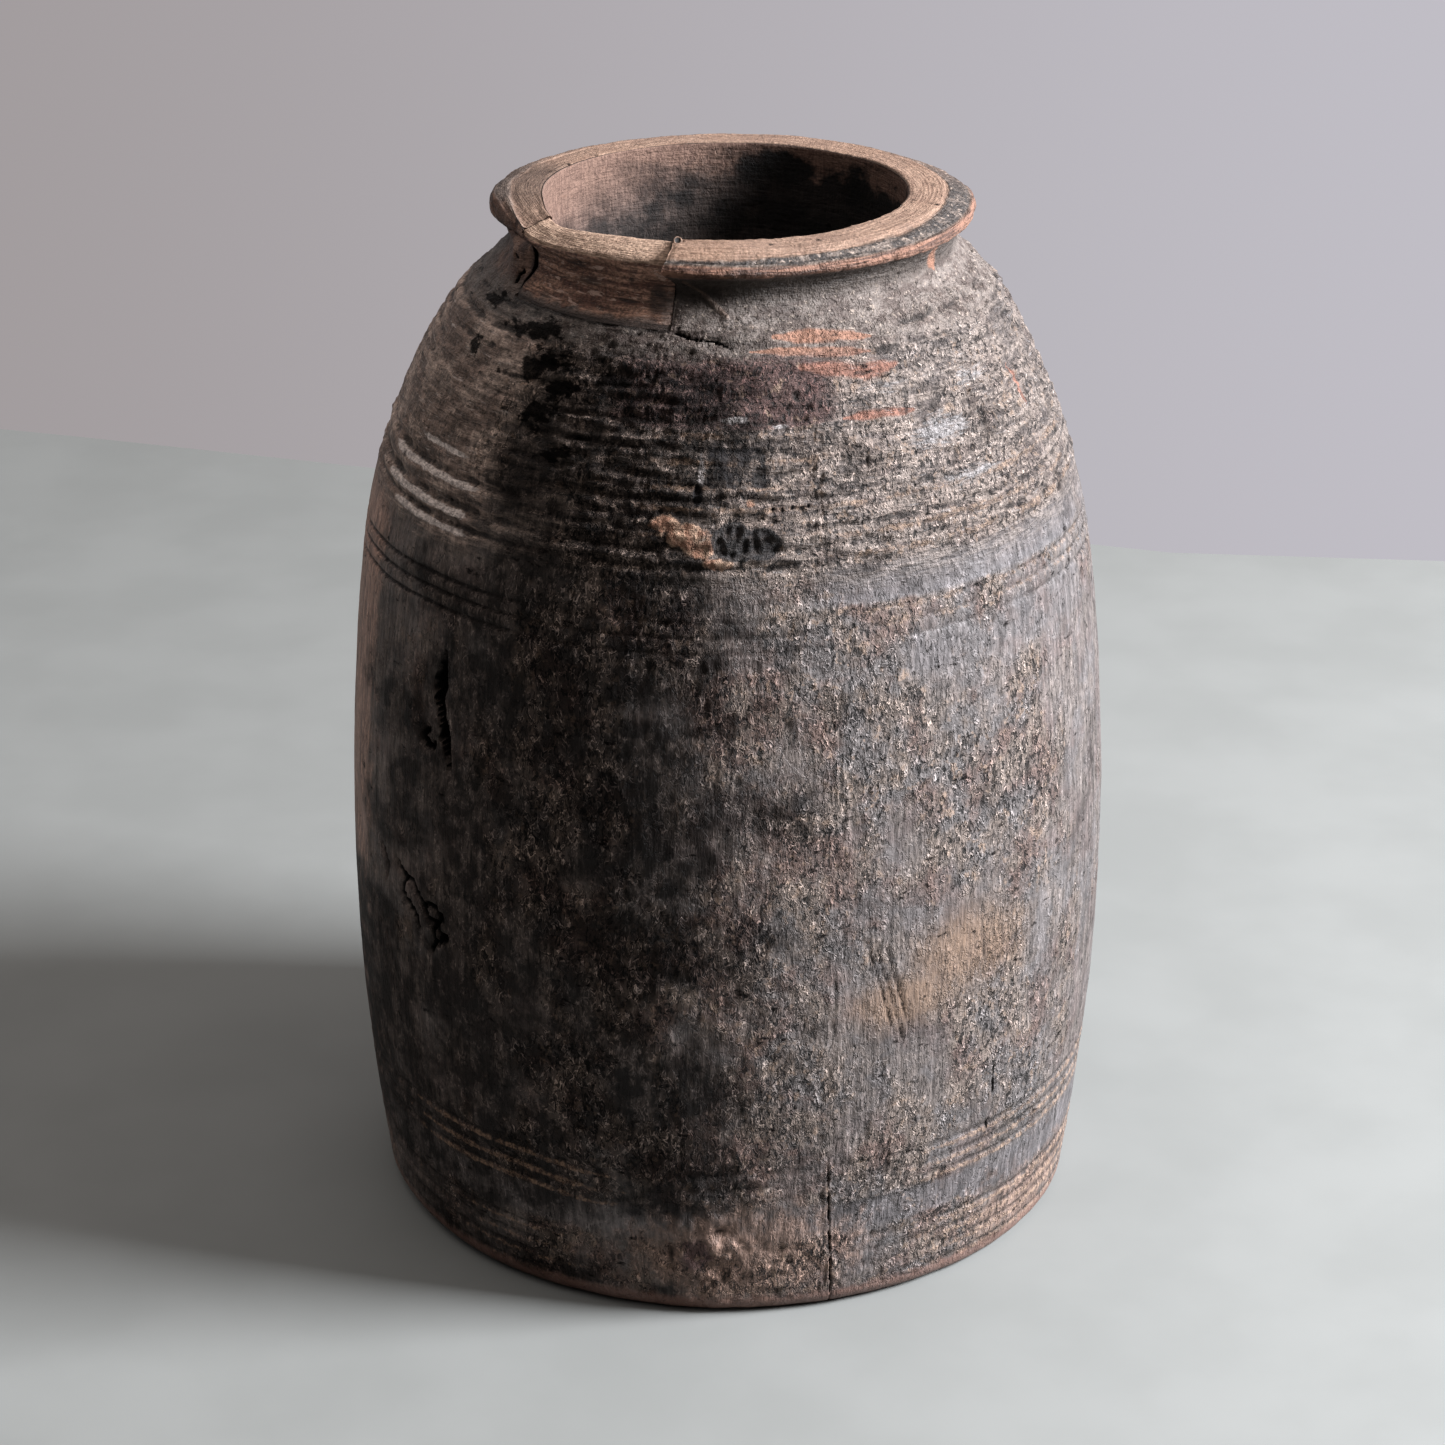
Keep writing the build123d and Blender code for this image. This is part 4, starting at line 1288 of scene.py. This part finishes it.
    roughness = g.blend(crumb, 0.54, 0.78)
    roughness = g.blend(chalk_and_highlight, roughness, 0.45)
    roughness = g.blend("inside", roughness, 0.85)
    bark = g.blend(crumb, 0.3, 1)
    wood_relief = g.add(
        g.mul(ridge, bark, 1),
        g.mul(beside, bark, -0.6),
        g.mul(flecks, bark, 1.5),
        g.mul(gaps, bark, -1),
        g.mul(fibre, 0.45),
        g.mul(cracks, -0.7),
    )
    shoulder_relief = g.add(
        g.mul(terraces, 2.4), g.mul(crumbs, 1.1), g.mul(flecks, 1.2), g.mul(gaps, -0.7), g.mul(ridge, 0.7)
    )
    wood_relief = g.blend(g.mul(sloping, 0.85), wood_relief, shoulder_relief)
    bare_relief = g.add(
        g.mul(ring_fibre, 0.55), g.mul(ring_lines, 0.45), g.mul(flecks, 0.3), g.mul("flange", crumbs, 1.2)
    )
    relief = g.blend(g.math("MAXIMUM", "top", g.mul("inside", 0.6)), wood_relief, bare_relief)
    gloss = g.mul(g.blend(soot_and_shade, 0.25, 0.08), g.flip(g.math("MAXIMUM", "deep_shade", g.mul(pitch, 0.8))))
    g.finish(colour, roughness, relief, gloss, WOOD_TONE)
    return material


def repair_wood():
    material, g = new_material("repair_wood")
    streaks = g.noise(15, 1.2, 5, 0.62, 0.3)
    blotches = g.noise(9, 4.5, 4, 0.62, offset=3)
    fibre = g.ring_noise(4, 0.5, 4, 0.62, offset=5)
    fine = g.noise(1, 0.7, 4, 0.62, offset=7)
    side = g.ramp(streaks, 0.42, 0.6, (0.125, 0.058, 0.042), (0.48, 0.285, 0.21))
    side = g.lay(side, (0.27, 0.15, 0.108), g.levels(blotches, 0.48, 0.62), 0.45)
    side = g.mottle(side, fine, 0.36, 0.64, 0.5, 1.45)
    pale = g.levels(g.noise(5, 1.2, 5, 0.68, 0.6, offset=11), 0.56, 0.62)
    side = g.lay(side, (0.64, 0.46, 0.39), pale, 0.8)
    side = g.lay(side, (0.03, 0.02, 0.019), g.levels(g.noise(6, 4, 4, 0.64, offset=9), 0.57, 0.66), 0.8)
    grey_colour = g.mottle((0.13, 0.108, 0.1), fine, 0.36, 0.64, 0.4, 1.5)
    side = g.lay(side, grey_colour, g.edged("grey", fine, 1.4, 0.3), 0.75)
    top = g.ramp(fibre, 0.36, 0.6, (0.31, 0.2, 0.146), (0.68, 0.49, 0.375))
    top = g.mottle(top, fine, 0.34, 0.62, 0.62, 1.12)
    top = g.lay(top, (0.26, 0.16, 0.115), g.levels(blotches, 0.52, 0.66), 0.45)
    colour = g.mix(g.edged("top", blotches, 0.5, 0.3), side, top)
    # dirt and painted shade along the seams, at the foot and in the hollows
    colour = g.lay(colour, (0.024, 0.016, 0.014), g.edged("dirt_and_shade", fine, 1, 0.25), 0.8)
    roughness = g.blend("top", 0.58, 0.8)
    side_relief = g.add(g.mul(streaks, 1.6), g.mul(fine, 0.7))
    top_relief = g.add(g.mul(fibre, 0.7), g.mul(fine, 0.6))
    g.finish(colour, roughness, g.blend("top", side_relief, top_relief), 0.25, WOOD_TONE)
    return material


def peg_wood():
    material, g = new_material("peg_wood")
    grain = g.noise(0.35, 5, 3, 0.6)
    blotches = g.noise(1, 1.2, 3, 0.6, offset=4)
    colour = g.ramp(grain, 0.36, 0.64, (0.13, 0.08, 0.058), (0.4, 0.27, 0.2))
    colour = g.lay(colour, (0.07, 0.045, 0.035), g.levels(blotches, 0.5, 0.65), 0.6)
    colour = g.ramp("heart", 0.3, 0.7, colour, (0.012, 0.009, 0.008))
    relief = g.add(g.mul(grain, 0.15), g.mul(blotches, 0.08))
    g.finish(colour, g.levels(blotches, 0.3, 0.7, 0.6, 0.8), relief, 0.3, WOOD_TONE)
    return material


# ------------------------------------------------------------------ the pieces
vessel = make_vessel()
insert = make_insert()
peg = make_peg()
pieces = (
    (vessel, "vessel", "aged_wood", aged_wood()),
    (insert, "rim_insert", "repair_wood", repair_wood()),
    (peg, "seam_peg", "peg_wood", peg_wood()),
)
for piece, node, slot, material in pieces:
    piece.data.materials.append(material)
    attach(piece, "root")
    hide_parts(node)
dowel_material = bpy.data.materials["peg_wood"]
for name in ("insert_dowel_left", "insert_dowel_right"):
    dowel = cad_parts[name]
    dowel.data.materials.clear()
    dowel.data.materials.append(dowel_material)

# ------------------------------------------------------------------ floor, light, camera
def make_floor():
    """A pale table top whose far edge is behind the pot."""
    mesh = bpy.data.meshes.new("floor")
    corners = [(-6, -6, 0), (6, -6, 0), (6, 0, 0), (0.19, 0.508, 0), (-0.3, 0.66, 0), (-6, 2.3, 0)]
    mesh.from_pydata(corners, [], [tuple(range(len(corners)))])
    floor = bpy.data.objects.new("floor", mesh)
    bpy.context.scene.collection.objects.link(floor)
    material, g = new_material("pale_floor")
    tone = g.noise(60, 60, 4, 0.5)
    colour = g.ramp(tone, 0.3, 0.7, (0.152, 0.155, 0.149), (0.166, 0.169, 0.163))
    g.finish(colour, 0.75, g.mul(tone, 0.2), 0.2)
    mesh.materials.append(material)


def make_world():
    """Soft room light: a pale wall behind, dim towards the front."""
    world = bpy.data.worlds.new("room")
    bpy.context.scene.world = world
    world.use_nodes = True
    g = Graph(world.node_tree)
    x, y, z = g.axes("Generated")
    wall = g.ramp(x, -0.25, 0.25, (0.355, 0.325, 0.33), (0.54, 0.525, 0.575))
    side = g.ramp(x, -0.95, -0.1, (0.17, 0.165, 0.17), (0.012, 0.011, 0.011))
    colour = g.ramp(y, 0.25, 0.85, side, wall)
    colour = g.ramp(z, 0.45, 0.95, colour, (1.25, 1.19, 1.15))
    background = g.node("ShaderNodeBackground", {"Color": colour, "Strength": 1})
    g.node("ShaderNodeOutputWorld", {"Surface": background.outputs[0]})


def make_light():
    """One large window-like light at the right."""
    data = bpy.data.lights.new("window", "AREA")
    data.shape = "SQUARE"
    data.size = WINDOW_SIZE
    data.energy = WINDOW_POWER
    data.color = (0.96, 0.985, 1.03)
    light = bpy.data.objects.new("window", data)
    bpy.context.scene.collection.objects.link(light)
    azimuth, elevation = math.radians(WINDOW_AZIMUTH), math.radians(WINDOW_ELEVATION)
    away = (
        math.cos(elevation) * math.sin(azimuth),
        -math.cos(elevation) * math.cos(azimuth),
        math.sin(elevation),
    )
    light.location = [WINDOW_DISTANCE * a for a in away]
    light.location.z += 0.12
    from_light = light.location.normalized()
    light.rotation_mode = "QUATERNION"
    light.rotation_quaternion = from_light.to_track_quat("Z", "Y")


def make_camera():
    data = bpy.data.cameras.new("camera")
    data.sensor_width = 36
    data.lens = CAMERA_LENS
    camera = bpy.data.objects.new("camera", data)
    bpy.context.scene.collection.objects.link(camera)
    camera.location = CAMERA_PLACE
    camera.rotation_euler = (math.radians(90 - CAMERA_TILT), 0, 0)
    bpy.context.scene.camera = camera


make_floor()
make_world()
make_light()
make_camera()
bpy.context.scene.view_settings.view_transform = "Standard"
